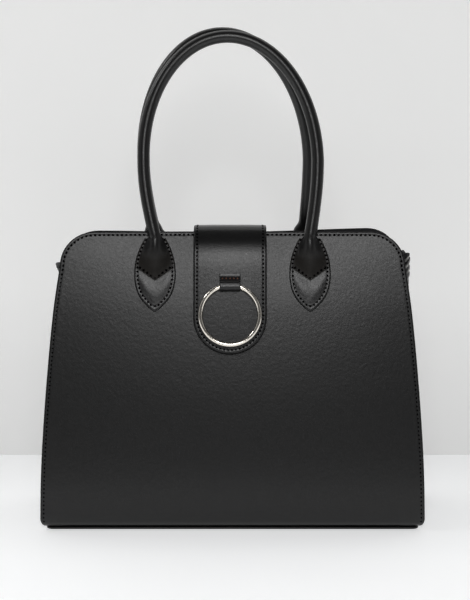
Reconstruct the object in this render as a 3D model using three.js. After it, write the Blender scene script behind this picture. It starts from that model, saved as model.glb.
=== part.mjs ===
// Structured leather tote bag.
// Two stiff panels lean towards each other over a flat base, with a folding gusset at each side.
// A strap flap, sewn to the back panel, closes over the mouth and carries a loose metal ring in a leather
// keeper. Two rolled handles stand on leaf-shaped tabs.
// Millimetres, +Z up, front towards -Y. The origin is under the middle of the base, on the resting plane.

import * as THREE from "three";

// Sides of the bag, as signs of y and of x
const FRONT = -1;
const BACK = 1;
const LEFT = -1;
const RIGHT = 1;

// Clearance between neighbouring pieces
const GAP = 0.3;

// Flat base plate
const BASE = { halfWidth: 178, halfDepth: 61, thickness: 3, corner: 9, bevel: 0.8 };

// Front and back panels: the lower edge turns under on to the base, the upper corners are rounded
const PANEL = {
  height: 287,
  wall: 2.4,
  turnRadius: 9.5,
  flange: 12,
  flangeHalfWidth: 172,
  footCorner: 4,
  cornerReach: 33,
  cornerRise: 32,
  faceRows: 12,
  middleColumns: 4,
  cornerColumns: 4,
};
const TURN_ANGLES = [0, 22.5, 45, 67.5];
const PANEL_ROWS = [
  { z: 12.8, halfWidth: 186.4, edgeDepth: 65, middleDepth: 65 },
  { z: 47, halfWidth: 185.7, edgeDepth: 63.3, middleDepth: 63.9 },
  { z: 83, halfWidth: 184.2, edgeDepth: 59.9, middleDepth: 60.8 },
  { z: 141, halfWidth: 180.3, edgeDepth: 52.3, middleDepth: 52.7 },
  { z: 210, halfWidth: 174, edgeDepth: 41.4, middleDepth: 39.3 },
  { z: 255, halfWidth: 167.6, edgeDepth: 33, middleDepth: 28 },
  { z: 288, halfWidth: 162.2, edgeDepth: 26.3, middleDepth: 17.5 },
];
const PANELS = [
  { name: "front_panel", side: FRONT, topDip: 0 },
  { name: "back_panel", side: BACK, topDip: 3.4 },
];

// Side gussets: seam flanges behind the panel edges, outward lobes and an inward fold between them
const GUSSET = { wall: 1.8, seam: 6, webColumns: 10, crestPower: 6 };
const GUSSET_ROWS = [
  { z: 6, lobe: 0, fold: 0 },
  { z: 60, lobe: 2, fold: 3 },
  { z: 150, lobe: 4, fold: 9 },
  { z: 225, lobe: 6, fold: 15 },
  { z: 243, lobe: 9, fold: 17 },
  { z: 255, lobe: 14.5, fold: 18 },
];
const GUSSETS = [
  { name: "gusset_left", side: LEFT, crest: 1 },
  { name: "gusset_right", side: RIGHT, crest: 9 },
];

// Strap flap: a table of its inner face from the round tip up the front to the crest and down the back
const FLAP = { x: -2.4, halfWidth: 35.45, thickness: 2.3, tailGap: 0.6, rowStep: 7.5 };
const FLAP_TIP_ANGLES = [10, 25, 40, 55, 72];
const FLAP_FRONT_ROWS = [
  { depth: 50.3, z: 170.9 },
  { depth: 45, z: 201 },
  { depth: 38.6, z: 235 },
  { depth: 33.4, z: 260 },
  { depth: 28, z: 276.5 },
  { depth: 19, z: 287.9 },
  { depth: 0, z: 290.8 },
];
const FLAP_BACK_ROWS = [
  { depth: 12, z: 289.4 },
  { depth: 19.6, z: 284.9 },
];
const FLAP_TAIL_HEIGHTS = [275, 258, 241, 225];
const SNAP = { fromTip: 18, radius: 7, thickness: 2.2, sides: 24 };

// Ring and its leather keeper, placed along the flap from its tip
const RING = { radius: 28.7, wire: 2.2, sides: 12, steps: 40 };
const KEEPER = {
  fromTip: 65,
  width: 19.8,
  bore: 3.45,
  wall: 1,
  tabTop: 12.4,
  tabThickness: 1.7,
  arcSteps: 10,
};
const KEEPER_SHOULDER_ANGLE = 100;

// Leaf-shaped handle tabs, with a padded lower half
const TAB = { x: 75.4, thickness: 1.6, padding: 1.3, padBottom: 211, padTop: 249, columns: 4 };
const LEAF_ROWS = [
  { z: 210.7, half: 1 },
  { z: 213.5, half: 5 },
  { z: 218.2, half: 9.8 },
  { z: 223, half: 13.9 },
  { z: 230, half: 17.5 },
  { z: 238, half: 19.5 },
  { z: 246, half: 20.15 },
  { z: 259, half: 18.9 },
  { z: 271, half: 15 },
  { z: 280, half: 10.4 },
];

// Rolled handles: flared feet that end in a V on the tabs, legs up to the bow, and an oval arch above it
const HANDLE = {
  radius: 5.65,
  sides: 10,
  footTop: 283,
  bow: 356,
  legSteps: 5,
  archSteps: 24,
  apexGap: 0.25,
  leanPower: 1.35,
};
const HANDLE_FOOT_ROWS = [
  { z: 251, half: 16.4, thickness: 2, vee: 11 },
  { z: 256, half: 15.5, thickness: 3.2, vee: 8.6 },
  { z: 262, half: 14.2, thickness: 5.2, vee: 5.6 },
  { z: 268, half: 12, thickness: 7.6, vee: 3 },
  { z: 275, half: 8.6, thickness: 10, vee: 0.8 },
];
const HANDLES = [
  { name: "handle_front", side: FRONT, middle: -1.8, halfWidth: 84.6, apex: 475, sway: -3 },
  { name: "handle_back", side: BACK, middle: -6.4, halfWidth: 82.3, apex: 478.6, sway: -3.5 },
];

// Materials: colour, roughness and metalness
const LEATHER = { color: 0x1c1c1d, roughness: 0.46, metalness: 0 };
const ROLLED_LEATHER = { color: 0x171718, roughness: 0.4, metalness: 0 };
const BASE_LEATHER = { color: 0x141415, roughness: 0.6, metalness: 0 };
const POLISHED_METAL = { color: 0xd8d2c4, roughness: 0.14, metalness: 1 };
const DARK_METAL = { color: 0x55524c, roughness: 0.4, metalness: 1 };

const radians = THREE.MathUtils.degToRad;

// Value of a table's column at z, on a smooth curve through its rows
function smooth(rows, z, column) {
  let k = 0;
  while (k < rows.length - 2 && z > rows[k + 1].z) k += 1;
  const slopeAt = (i) => {
    const before = rows[Math.max(i - 1, 0)];
    const after = rows[Math.min(i + 1, rows.length - 1)];
    return (after[column] - before[column]) / (after.z - before.z);
  };
  const low = rows[k];
  const high = rows[k + 1];
  const span = high.z - low.z;
  const t = (z - low.z) / span;
  const rise = high[column] - low[column];
  const bendLow = slopeAt(k) * span - rise;
  const bendHigh = rise - slopeAt(k + 1) * span;
  return low[column] + rise * t + t * (1 - t) * (bendLow * (1 - t) + bendHigh * t);
}

// Closed geometry from points and triangles, turned to face outwards
function closedGeometry(points, triangles) {
  let volume = 0;
  for (const [a, b, c] of triangles) {
    volume += points[a].dot(new THREE.Vector3().crossVectors(points[b], points[c]));
  }
  const index = triangles.flatMap(([a, b, c]) => (volume > 0 ? [a, b, c] : [a, c, b]));
  const geometry = new THREE.BufferGeometry().setFromPoints(points);
  geometry.setIndex(index);
  geometry.computeVertexNormals();
  return geometry;
}

// Wall between two grids of points, given as rows of columns, closed round its rim
function wallBetween(outer, inner) {
  const rows = outer.length;
  const columns = outer[0].length;
  const points = [...outer.flat(), ...inner.flat()];
  const far = rows * columns;
  const at = (row, column) => row * columns + column;
  const triangles = [];
  const quad = (a, b, c, d) => triangles.push([a, b, c], [a, c, d]);
  for (let r = 0; r < rows - 1; r += 1) {
    for (let c = 0; c < columns - 1; c += 1) {
      quad(at(r, c), at(r, c + 1), at(r + 1, c + 1), at(r + 1, c));
      quad(far + at(r, c), far + at(r + 1, c), far + at(r + 1, c + 1), far + at(r, c + 1));
    }
    quad(at(r, 0), at(r + 1, 0), far + at(r + 1, 0), far + at(r, 0));
    quad(at(r + 1, columns - 1), at(r, columns - 1), far + at(r, columns - 1), far + at(r + 1, columns - 1));
  }
  for (let c = 0; c < columns - 1; c += 1) {
    quad(at(0, c + 1), at(0, c), far + at(0, c), far + at(0, c + 1));
    quad(at(rows - 1, c), at(rows - 1, c + 1), far + at(rows - 1, c + 1), far + at(rows - 1, c));
  }
  return closedGeometry(points, triangles);
}

// Solid through a run of rings with the same even number of points, its two ends closed straight across
function loftThrough(rings) {
  const sides = rings[0].length;
  const triangles = [];
  const quad = (a, b, c, d) => triangles.push([a, b, c], [a, c, d]);
  for (let r = 0; r < rings.length - 1; r += 1) {
    for (let k = 0; k < sides; k += 1) {
      const next = (k + 1) % sides;
      quad(r * sides + k, r * sides + next, (r + 1) * sides + next, (r + 1) * sides + k);
    }
  }
  const closeEnd = (start, flip) => {
    const add = (a, b, c) => {
      const [second, third] = flip ? [c, b] : [b, c];
      triangles.push([start + a, start + second, start + third]);
    };
    const half = sides / 2;
    add(0, sides - 1, 1);
    for (let k = 1; k < half - 1; k += 1) {
      add(k, sides - k, sides - k - 1);
      add(k, sides - k - 1, k + 1);
    }
    add(half - 1, half + 1, half);
  };
  closeEnd(0, false);
  closeEnd((rings.length - 1) * sides, true);
  return closedGeometry(rings.flat(), triangles);
}

function pieceMesh(name, geometry, finish) {
  const mesh = new THREE.Mesh(geometry, new THREE.MeshStandardMaterial(finish));
  mesh.name = name;
  return mesh;
}

// Shape of the two panels

const TURN_CENTRE_Z = BASE.thickness + GAP + PANEL.turnRadius;
const CORNER_START_Z = PANEL.height - PANEL.cornerRise;

function panelHalfWidth(z) {
  return smooth(PANEL_ROWS, z, "halfWidth");
}

// Distance of a panel's outer face from the bag's middle plane
function faceDepth(x, z) {
  const edge = smooth(PANEL_ROWS, z, "edgeDepth");
  const middle = smooth(PANEL_ROWS, z, "middleDepth");
  const across = x / panelHalfWidth(z);
  return middle + (edge - middle) * across * across;
}

// Height of a panel's top edge at x, with its rounded corners and a dip in the middle
function panelTop(x, topDip) {
  const halfWidth = panelHalfWidth(CORNER_START_Z);
  const intoCorner = Math.max(0, Math.abs(x) - (halfWidth - PANEL.cornerReach)) / PANEL.cornerReach;
  const corner = PANEL.cornerRise * Math.sqrt(Math.max(0, 1 - intoCorner * intoCorner));
  const across = x / (halfWidth - PANEL.cornerReach);
  const dip = topDip * Math.max(0, 1 - across * across);
  return CORNER_START_Z + corner - dip;
}

function turnHalfWidth(angle) {
  return panelHalfWidth(TURN_CENTRE_Z) - PANEL.footCorner * (1 - Math.sin(angle));
}

// Depth and height of the turned-under lower edge, an inset inside its outer face
function turnPoint(angle, inset) {
  const reach = PANEL.turnRadius - inset;
  const centreDepth = faceDepth(0, TURN_CENTRE_Z) - PANEL.turnRadius;
  return { depth: centreDepth + reach * Math.sin(angle), z: TURN_CENTRE_Z - reach * Math.cos(angle) };
}

// Columns across a panel as shares of its half width, closer together at the rounded corners
function panelColumns() {
  const cornerStart = 1 - PANEL.cornerReach / panelHalfWidth(CORNER_START_Z);
  const half = [];
  for (let k = 1; k <= PANEL.middleColumns; k += 1) {
    half.push((cornerStart * k) / PANEL.middleColumns);
  }
  for (let k = 1; k <= PANEL.cornerColumns; k += 1) {
    half.push(cornerStart + (1 - cornerStart) * Math.sin((k / PANEL.cornerColumns) * (Math.PI / 2)));
  }
  return [...half.map((share) => -share).reverse(), 0, ...half];
}

function panelSkin(panel, inset) {
  const shares = panelColumns();
  const point = (x, depth, z) => new THREE.Vector3(x, panel.side * depth, z);
  const rows = [];
  const flat = turnPoint(0, inset);
  rows.push(shares.map((share) => point(share * PANEL.flangeHalfWidth, flat.depth - PANEL.flange, flat.z)));
  for (const degrees of TURN_ANGLES) {
    const angle = radians(degrees);
    const turned = turnPoint(angle, inset);
    rows.push(shares.map((share) => point(share * turnHalfWidth(angle), turned.depth, turned.z)));
  }
  for (let row = 0; row <= PANEL.faceRows; row += 1) {
    const rise = row / PANEL.faceRows;
    const halfWidth = panelHalfWidth(edgeHeight(rise));
    const topHalfWidth = panelHalfWidth(CORNER_START_Z);
    rows.push(
      shares.map((share) => {
        const x = share * halfWidth;
        const top = panelTop(share * topHalfWidth, panel.topDip);
        const z = TURN_CENTRE_Z + rise * (top - TURN_CENTRE_Z);
        return point(x, faceDepth(x, z) - inset, z);
      }),
    );
  }
  return rows;
}

// Height along a panel's straight side edge, from the turn at 0 to the rounded corner at 1
function edgeHeight(rise) {
  return TURN_CENTRE_Z + rise * (CORNER_START_Z - TURN_CENTRE_Z);
}

function panelMesh(panel) {
  return pieceMesh(panel.name, wallBetween(panelSkin(panel, 0), panelSkin(panel, PANEL.wall)), LEATHER);
}

// Base plate

function baseMesh() {
  const x = BASE.halfWidth - BASE.corner;
  const y = BASE.halfDepth - BASE.corner;
  const outline = new THREE.Shape();
  outline.absarc(x, y, BASE.corner, 0, Math.PI / 2);
  outline.absarc(-x, y, BASE.corner, Math.PI / 2, Math.PI);
  outline.absarc(-x, -y, BASE.corner, Math.PI, 1.5 * Math.PI);
  outline.absarc(x, -y, BASE.corner, 1.5 * Math.PI, 2 * Math.PI);
  const geometry = new THREE.ExtrudeGeometry(outline, {
    depth: BASE.thickness - 2 * BASE.bevel,
    curveSegments: 3,
    bevelThickness: BASE.bevel,
    bevelSize: BASE.bevel,
    bevelOffset: -BASE.bevel,
    bevelSegments: 1,
  });
  geometry.translate(0, 0, BASE.bevel);
  return pieceMesh("base_panel", geometry, BASE_LEATHER);
}

// Side gussets

// Middle line of a gusset in plan at one level, from the front seam's free edge to the back seam's
function gussetLine(level, gusset) {
  const inset = PANEL.wall + GAP + GUSSET.wall / 2;
  const seamPoint = (x) => {
    if (level.angle !== undefined) return turnPoint(level.angle, inset);
    return { depth: faceDepth(x, level.z) - inset, z: level.z };
  };
  const foldX = level.halfWidth - GUSSET.seam;
  const tip = seamPoint(level.halfWidth);
  const corner = seamPoint(foldX);
  const lobe = smooth(GUSSET_ROWS, corner.z, "lobe");
  const fold = smooth(GUSSET_ROWS, corner.z, "fold");
  const line = [new THREE.Vector3(level.halfWidth, -tip.depth, tip.z)];
  for (let k = 0; k <= GUSSET.webColumns; k += 1) {
    const across = k / GUSSET.webColumns;
    const inwards = 1 - Math.abs(2 * across - 1);
    const swell = lobe * Math.sin(Math.PI * inwards);
    const x = foldX + swell - fold * inwards * inwards;
    const y = corner.depth * (2 * across - 1);
    const overBase = level.lowest && Math.abs(y) < turnPoint(0, 0).depth - PANEL.flange - GAP;
    const crest = gusset.crest * Math.sin(Math.PI * inwards) * level.rise ** GUSSET.crestPower;
    line.push(new THREE.Vector3(x, y, overBase ? BASE.thickness + GAP : corner.z + crest));
  }
  line.push(new THREE.Vector3(level.halfWidth, tip.depth, tip.z));
  return line;
}

// A line in plan moved sideways by an offset
function offsetLine(line, offset) {
  return line.map((point, k) => {
    const before = line[Math.max(k - 1, 0)];
    const after = line[Math.min(k + 1, line.length - 1)];
    const sideways = new THREE.Vector3(after.y - before.y, before.x - after.x, 0).normalize();
    return point.clone().addScaledVector(sideways, offset);
  });
}

function gussetLevels() {
  const levels = TURN_ANGLES.slice(1).map((degrees, k) => {
    const angle = radians(degrees);
    return { angle, halfWidth: turnHalfWidth(angle), rise: 0, lowest: k === 0 };
  });
  for (let row = 0; row <= PANEL.faceRows; row += 1) {
    const rise = row / PANEL.faceRows;
    const z = edgeHeight(rise);
    levels.push({ z, halfWidth: panelHalfWidth(z), rise, lowest: false });
  }
  return levels;
}

function gussetMesh(gusset) {
  const lines = gussetLevels().map((level) => gussetLine(level, gusset));
  const skin = (offset) =>
    lines.map((line) => offsetLine(line, offset).map((p) => new THREE.Vector3(gusset.side * p.x, p.y, p.z)));
  return pieceMesh(gusset.name, wallBetween(skin(GUSSET.wall / 2), skin(-GUSSET.wall / 2)), LEATHER);
}

// Strap flap

// Inner face of the flap in side view, as (y, z), from its tip to its sewn tail
function flapPath() {
  const front = FLAP_FRONT_ROWS.map((row) => new THREE.Vector2(-row.depth, row.z));
  const back = FLAP_BACK_ROWS.map((row) => new THREE.Vector2(row.depth, row.z));
  const tail = FLAP_TAIL_HEIGHTS.map((z) => new THREE.Vector2(faceDepth(0, z) + FLAP.tailGap, z));
  return new THREE.SplineCurve([...front, ...back, ...tail]);
}

// Point and outward direction on the flap's inner face, a length from its tip
function flapStation(path, fromTip) {
  const share = Math.min(fromTip / path.getLength(), 1);
  const point = path.getPointAt(share);
  const tangent = path.getTangentAt(share);
  return { point, outward: new THREE.Vector2(-tangent.y, tangent.x), lean: Math.atan2(tangent.x, tangent.y) };
}

function flapRows(length) {
  const rows = FLAP_TIP_ANGLES.map((degrees) => ({
    fromTip: FLAP.halfWidth * (1 - Math.cos(radians(degrees))),
    half: FLAP.halfWidth * Math.sin(radians(degrees)),
  }));
  const steps = Math.round((length - FLAP.halfWidth) / FLAP.rowStep);
  for (let k = 0; k <= steps; k += 1) {
    rows.push({ fromTip: FLAP.halfWidth + ((length - FLAP.halfWidth) * k) / steps, half: FLAP.halfWidth });
  }
  return rows;
}

function flapMesh(path) {
  const skin = (inset) =>
    flapRows(path.getLength()).map((row) => {
      const { point, outward } = flapStation(path, row.fromTip);
      const at = point.clone().addScaledVector(outward, inset);
      return [-row.half, 0, row.half].map((x) => new THREE.Vector3(FLAP.x + x, at.x, at.y));
    });
  return pieceMesh("flap", wallBetween(skin(FLAP.thickness), skin(0)), LEATHER);
}

// Group on the flap whose -Y points straight out of its front and whose Z runs up it
function flapGroup(path, fromTip, offset) {
  const { point, outward, lean } = flapStation(path, fromTip);
  const at = point.clone().addScaledVector(outward, offset);
  const group = new THREE.Group();
  group.position.set(FLAP.x, at.x, at.y);
  group.rotation.x = -lean;
  return group;
}

function snapGroup(path) {
  const group = flapGroup(path, SNAP.fromTip, 0);
  const disc = new THREE.CylinderGeometry(SNAP.radius, SNAP.radius, SNAP.thickness, SNAP.sides);
  const snap = pieceMesh("flap_snap", disc, DARK_METAL);
  snap.position.y = GAP + SNAP.thickness / 2;
  group.add(snap);
  return group;
}

// Ring and keeper

const KEEPER_ROLL = KEEPER.bore + KEEPER.wall;
const KEEPER_AXIS_OUT = GAP + KEEPER_ROLL;

// Outline of the keeper seen along the ring's hinge: a sewn tab that runs into a roll round the wire
function keeperMesh() {
  const outline = new THREE.Shape();
  outline.moveTo(GAP, KEEPER.tabTop);
  outline.lineTo(GAP, 0);
  outline.absarc(KEEPER_AXIS_OUT, 0, KEEPER_ROLL, Math.PI, 2 * Math.PI + radians(KEEPER_SHOULDER_ANGLE));
  outline.lineTo(GAP + KEEPER.tabThickness, KEEPER.tabTop);
  const bore = new THREE.Path();
  bore.absarc(KEEPER_AXIS_OUT, 0, KEEPER.bore, 0, 2 * Math.PI, true);
  outline.holes.push(bore);
  const options = { depth: KEEPER.width, curveSegments: KEEPER.arcSteps, bevelEnabled: false };
  const geometry = new THREE.ExtrudeGeometry(outline, options);
  geometry.translate(0, 0, -KEEPER.width / 2);
  const outwards = new THREE.Vector3(0, -1, 0);
  const upwards = new THREE.Vector3(0, 0, 1);
  const along = new THREE.Vector3(-1, 0, 0);
  geometry.applyMatrix4(new THREE.Matrix4().makeBasis(outwards, upwards, along));
  return pieceMesh("ring_keeper", geometry, LEATHER);
}

function keeperGroup(path) {
  const group = flapGroup(path, KEEPER.fromTip, FLAP.thickness);
  group.add(keeperMesh());
  return group;
}

// How far the wire's middle line rises inside the keeper, from its ends to its middle
function wireRise() {
  return RING.radius - Math.sqrt(RING.radius ** 2 - (KEEPER.width / 2) ** 2);
}

// The ring turns about the keeper's bore and leans so that its lower edge rests on the flap
function ringGroup(path) {
  const drop = RING.radius - wireRise() / 2;
  const reach = drop + RING.radius;
  const group = flapGroup(path, KEEPER.fromTip, FLAP.thickness + KEEPER_AXIS_OUT);
  const rest = flapGroup(path, KEEPER.fromTip - reach, FLAP.thickness + GAP + RING.wire);
  const out = group.position.y - rest.position.y;
  group.rotation.x = -Math.asin(out / reach);
  const torus = new THREE.TorusGeometry(RING.radius, RING.wire, RING.sides, RING.steps);
  torus.rotateX(Math.PI / 2);
  const ring = pieceMesh("ring", torus, POLISHED_METAL);
  ring.position.z = -drop;
  group.add(ring);
  return group;
}

// Handle tabs

// Outer face of a tab as a distance from the bag's middle plane, a length from the tab's own middle line
function tabFace(x, z, fromMiddle) {
  const half = smooth(LEAF_ROWS, z, "half");
  const across = Math.min(1, Math.abs(fromMiddle) / half);
  const along = THREE.MathUtils.clamp((z - TAB.padBottom) / (TAB.padTop - TAB.padBottom), 0, 1);
  const padding = TAB.padding * Math.sin(Math.PI * along) * (1 - across * across);
  return faceDepth(x, z) + GAP + TAB.thickness + padding;
}

function tabMesh(name, side, end) {
  const skin = (depthAt) =>
    LEAF_ROWS.map((row) => {
      const line = [];
      for (let k = 0; k <= TAB.columns; k += 1) {
        const fromMiddle = row.half * ((2 * k) / TAB.columns - 1);
        const x = end * TAB.x + fromMiddle;
        line.push(new THREE.Vector3(x, side * depthAt(x, row.z, fromMiddle), row.z));
      }
      return line;
    });
  const seat = (x, z) => faceDepth(x, z) + GAP;
  return pieceMesh(name, wallBetween(skin(tabFace), skin(seat)), LEATHER);
}

function tabMeshes() {
  const meshes = [];
  for (const [sideName, side] of [["front", FRONT], ["back", BACK]]) {
    for (const [endName, end] of [["left", LEFT], ["right", RIGHT]]) {
      meshes.push(tabMesh(`handle_tab_${sideName}_${endName}`, side, end));
    }
  }
  return meshes;
}

// Rolled handles

function ringAngles() {
  return Array.from({ length: HANDLE.sides }, (_, k) => (2 * Math.PI * k) / HANDLE.sides);
}

// Section of a flared foot: it lies on the tab at every point, and its lower edge drops to a V
function footRing(handle, end, row) {
  return ringAngles().map((angle) => {
    const fromMiddle = row.half * Math.cos(angle);
    const x = end * TAB.x + end * -fromMiddle;
    const z = row.z - row.vee * (1 - Math.abs(Math.cos(angle)));
    const seat = tabFace(x, z, fromMiddle) + GAP;
    const depth = seat + (row.thickness / 2) * (1 + Math.sin(angle));
    return new THREE.Vector3(x, handle.side * depth, z);
  });
}

// Depth of the tube's middle line, from just outside the tab to the bag's middle at the apex
function handleDepth(handle, z) {
  const foot = faceDepth(TAB.x, HANDLE.footTop) + 2 * GAP + TAB.thickness + HANDLE.radius;
  const apex = HANDLE.radius + HANDLE.apexGap;
  const down = Math.max(0, (handle.apex - z) / (handle.apex - HANDLE.footTop));
  return apex + (foot - apex) * down ** HANDLE.leanPower;
}

// Middle line of a handle's tube, from the top of its left foot over the arch to the top of its right foot
function handleLine(handle) {
  const leg = (end) => {
    const foot = end * TAB.x;
    const bow = handle.middle + end * handle.halfWidth;
    const points = [];
    for (let k = 0; k < HANDLE.legSteps; k += 1) {
      const up = k / HANDLE.legSteps;
      const z = HANDLE.footTop + up * (HANDLE.bow - HANDLE.footTop);
      points.push([foot + (bow - foot) * Math.sin((up * Math.PI) / 2), z]);
    }
    return points;
  };
  const arch = [];
  for (let k = 0; k <= HANDLE.archSteps; k += 1) {
    const angle = (Math.PI * k) / HANDLE.archSteps;
    const x = handle.middle - handle.halfWidth * Math.cos(angle) + handle.sway * Math.sin(angle);
    arch.push([x, HANDLE.bow + (handle.apex - HANDLE.bow) * Math.sin(angle)]);
  }
  const outline = [...leg(LEFT), ...arch, ...leg(RIGHT).reverse()];
  return outline.map(([x, z]) => new THREE.Vector3(x, handle.side * handleDepth(handle, z), z));
}

// Round section of the tube, square to its middle line
function tubeRing(handle, line, k) {
  const along = line[Math.min(k + 1, line.length - 1)].clone().sub(line[Math.max(k - 1, 0)]).normalize();
  const outward = new THREE.Vector3(0, handle.side, 0);
  outward.addScaledVector(along, -outward.dot(along)).normalize();
  const across = new THREE.Vector3().crossVectors(along, outward).multiplyScalar(-handle.side);
  return ringAngles().map((angle) =>
    line[k]
      .clone()
      .addScaledVector(across, HANDLE.radius * Math.cos(angle))
      .addScaledVector(outward, HANDLE.radius * Math.sin(angle)),
  );
}

function handleMesh(handle) {
  const line = handleLine(handle);
  const rings = [
    ...HANDLE_FOOT_ROWS.map((row) => footRing(handle, LEFT, row)),
    ...line.map((_, k) => tubeRing(handle, line, k)),
    ...HANDLE_FOOT_ROWS.map((row) => footRing(handle, RIGHT, row)).reverse(),
  ];
  return pieceMesh(handle.name, loftThrough(rings), ROLLED_LEATHER);
}

// The whole bag

const path = flapPath();
const toteBag = new THREE.Group();
toteBag.add(baseMesh());
toteBag.add(...PANELS.map(panelMesh));
toteBag.add(...GUSSETS.map(gussetMesh));
toteBag.add(flapMesh(path), snapGroup(path), keeperGroup(path), ringGroup(path));
toteBag.add(...tabMeshes());
toteBag.add(...HANDLES.map(handleMesh));

export default toteBag;
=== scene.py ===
"""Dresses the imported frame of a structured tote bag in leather, lining, stitching and polished metal."""

import math

import bpy
import numpy as np
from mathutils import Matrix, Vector


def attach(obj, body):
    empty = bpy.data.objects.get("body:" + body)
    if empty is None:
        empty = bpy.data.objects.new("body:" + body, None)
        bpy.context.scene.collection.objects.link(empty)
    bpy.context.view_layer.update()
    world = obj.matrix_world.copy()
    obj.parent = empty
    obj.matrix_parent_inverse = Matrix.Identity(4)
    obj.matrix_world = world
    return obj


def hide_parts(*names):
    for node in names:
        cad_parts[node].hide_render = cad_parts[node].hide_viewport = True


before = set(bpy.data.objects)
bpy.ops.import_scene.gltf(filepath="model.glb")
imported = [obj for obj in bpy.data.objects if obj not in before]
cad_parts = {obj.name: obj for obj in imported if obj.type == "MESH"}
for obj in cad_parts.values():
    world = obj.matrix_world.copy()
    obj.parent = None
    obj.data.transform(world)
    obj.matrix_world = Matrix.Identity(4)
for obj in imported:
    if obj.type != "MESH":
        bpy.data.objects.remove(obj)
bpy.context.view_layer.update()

bl_info = {
    "name": "Structured Tote Bag",
    "version": (1, 0, 0),
    "blender": (4, 5, 0),
    "location": "View3D > Sidebar > Tote Bag",
    "description": "Builds the leather, lining, stitching and ring of a structured tote bag on its frame",
    "category": "Add Mesh",
}

# Sizes below are millimetres in the bag's own frame; meshes are made in metres.
MM = 0.001
GAP = 0.3
FRONT, BACK = -1, 1
LEFT, RIGHT = -1, 1
# Stands for the distance to an edge that is too far off to matter
FAR = 99.0

BASE = {"half_width": 181.5, "half_depth": 62.8, "thickness": 2.2, "corner": 7.0}

PANEL = {
    "height": 287.0,
    "wall": 2.4,
    "turn_radius": 9.5,
    "flange": 12.0,
    "flange_half_width": 172.0,
    "foot_corner": 4.0,
    "corner_reach": 33.0,
    "corner_rise": 32.0,
}
# Height, half width, depth at the side edges, depth in the middle
PANEL_ROWS = (
    (12.0, 186.4, 67.5, 67.5),
    (47.0, 185.7, 65.0, 65.6),
    (83.0, 184.2, 60.6, 61.5),
    (141.0, 180.3, 52.3, 52.7),
    (210.0, 174.0, 41.4, 39.3),
    (255.0, 167.6, 33.0, 28.0),
    (288.0, 162.2, 26.3, 17.5),
)
# Drop of a panel's top edge at its left end, its further dip in the middle and under the flap, and the
# unevenness of its face
TOP_DROP = {FRONT: 0.0, BACK: 2.6}
TOP_DIP = {FRONT: 0.0, BACK: 2.1}
FLAP_DIP = 1.6
UNEVENNESS = 0.05
TURN_CENTRE = BASE["thickness"] + GAP + PANEL["turn_radius"]
TURN_START = TURN_CENTRE - PANEL["turn_radius"] * math.pi / 2
CORNER_START = PANEL["height"] - PANEL["corner_rise"]

GUSSET = {"wall": 1.8, "seam": 6.0, "crest_power": 6}
# Height, outward lobe, inward fold
GUSSET_ROWS = (
    (6.0, 0.0, 0.0),
    (60.0, 2.0, 3.0),
    (150.0, 4.0, 9.0),
    (225.0, 6.0, 15.0),
    (243.0, 9.0, 17.0),
    (255.0, 14.5, 18.0),
)
GUSSET_CREST = {LEFT: 1.0, RIGHT: 10.5}
# Slack of a gusset's outward lobes, and the heights where it swells and dies out
GUSSET_SLACK = {LEFT: 0.0, RIGHT: 4.0}
SLACK_SWELLS = {"at": 205.0, "over": 42.0}
SLACK_FADES = {"at": 244.0, "over": 11.0}
# Soft wrinkles, and the small creases of the right gusset, from shares of its height upwards, and the share
# across the gusset where pale glints of light are painted on those creases as a painted highlight
WRINKLE_START = 0.72
WRINKLE = {LEFT: 0.4, RIGHT: 0.8}
CRINKLE = {"start": 0.86, "full": 0.94, "depth": 0.55, "wave": 0.9}
GLINT_FOLD = {"at": 0.14, "width": 0.08}
GUSSET_COLUMNS = 44
SEAM_STEPS = 4
# Distance under a gusset's top edge, and the extra thickness of its folded hem there
HEM_PROFILE = (
    (0.0, -0.55),
    (0.5, -0.1),
    (1.1, 0.2),
    (2.0, 0.3),
    (3.0, 0.18),
    (3.4, 0.06),
    (3.8, 0.18),
    (5.0, 0.3),
    (6.6, 0.28),
    (7.4, 0.1),
    (8.0, 0.0),
)
HEM = HEM_PROFILE[-1][0]

FLAP = {"x": -2.4, "half_width": 35.45, "thickness": 2.3, "tail_gap": 0.6}
# The flap's face is crowned towards its middle, and thinner where it bends over the mouth
FLAP_CROWN = {"rise": 0.3, "reach": 18.0}
FLAP_BEND = {"thinning": 0.8, "reach": 22.0}
# Depth and height of the flap's inner face, from the tip over the crest to the back
FLAP_PATH = (
    (-50.3, 170.9),
    (-45.0, 201.0),
    (-38.6, 235.0),
    (-33.4, 260.0),
    (-28.7, 273.7),
    (-23.6, 281.5),
    (-17.3, 287.6),
    (-13.0, 289.3),
    (-8.0, 289.9),
    (0.0, 290.0),
    (12.0, 288.4),
    (19.6, 284.3),
)
FLAP_TAIL_HEIGHTS = (275.0, 258.0, 241.0, 225.0)

SNAP_FROM_TIP = 18.0
RING = {"radius": 28.7, "wire": 2.2, "steps": 320, "sides": 48}
KEEPER = {"from_tip": 65.0, "width": 19.8, "bore": 3.45, "wall": 1.0, "tab_top": 12.4, "tab_thickness": 1.7}
KEEPER_STRIP = 0.8
KEEPER_ROW = {"reach": 7.3, "out": 3.4, "up": 7.5}

TAB = {"x": 75.4, "thickness": 1.6}
# Height and half width of a leaf-shaped tab
LEAF_ROWS = (
    (210.7, 1.0),
    (213.5, 5.0),
    (218.2, 9.8),
    (223.0, 13.9),
    (230.0, 17.5),
    (238.0, 19.5),
    (246.0, 20.15),
    (259.0, 18.9),
    (271.0, 15.0),
    (280.0, 10.4),
)
LEAF_FOOT, LEAF_TOP = LEAF_ROWS[0][0], LEAF_ROWS[-1][0]
LEAF_CENTRE = (0.0, 243.0)
LEAF_REACH = 20.6
TAB_PADDING = 0.55
VEE = {"point": 240.0, "corner": 251.0, "half_width": 16.6}
VEE_SLOPE = (VEE["corner"] - VEE["point"]) / VEE["half_width"]
VEE_ROW = {"reach": 14.6, "over": 2.1, "lift": 2.0}

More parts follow.
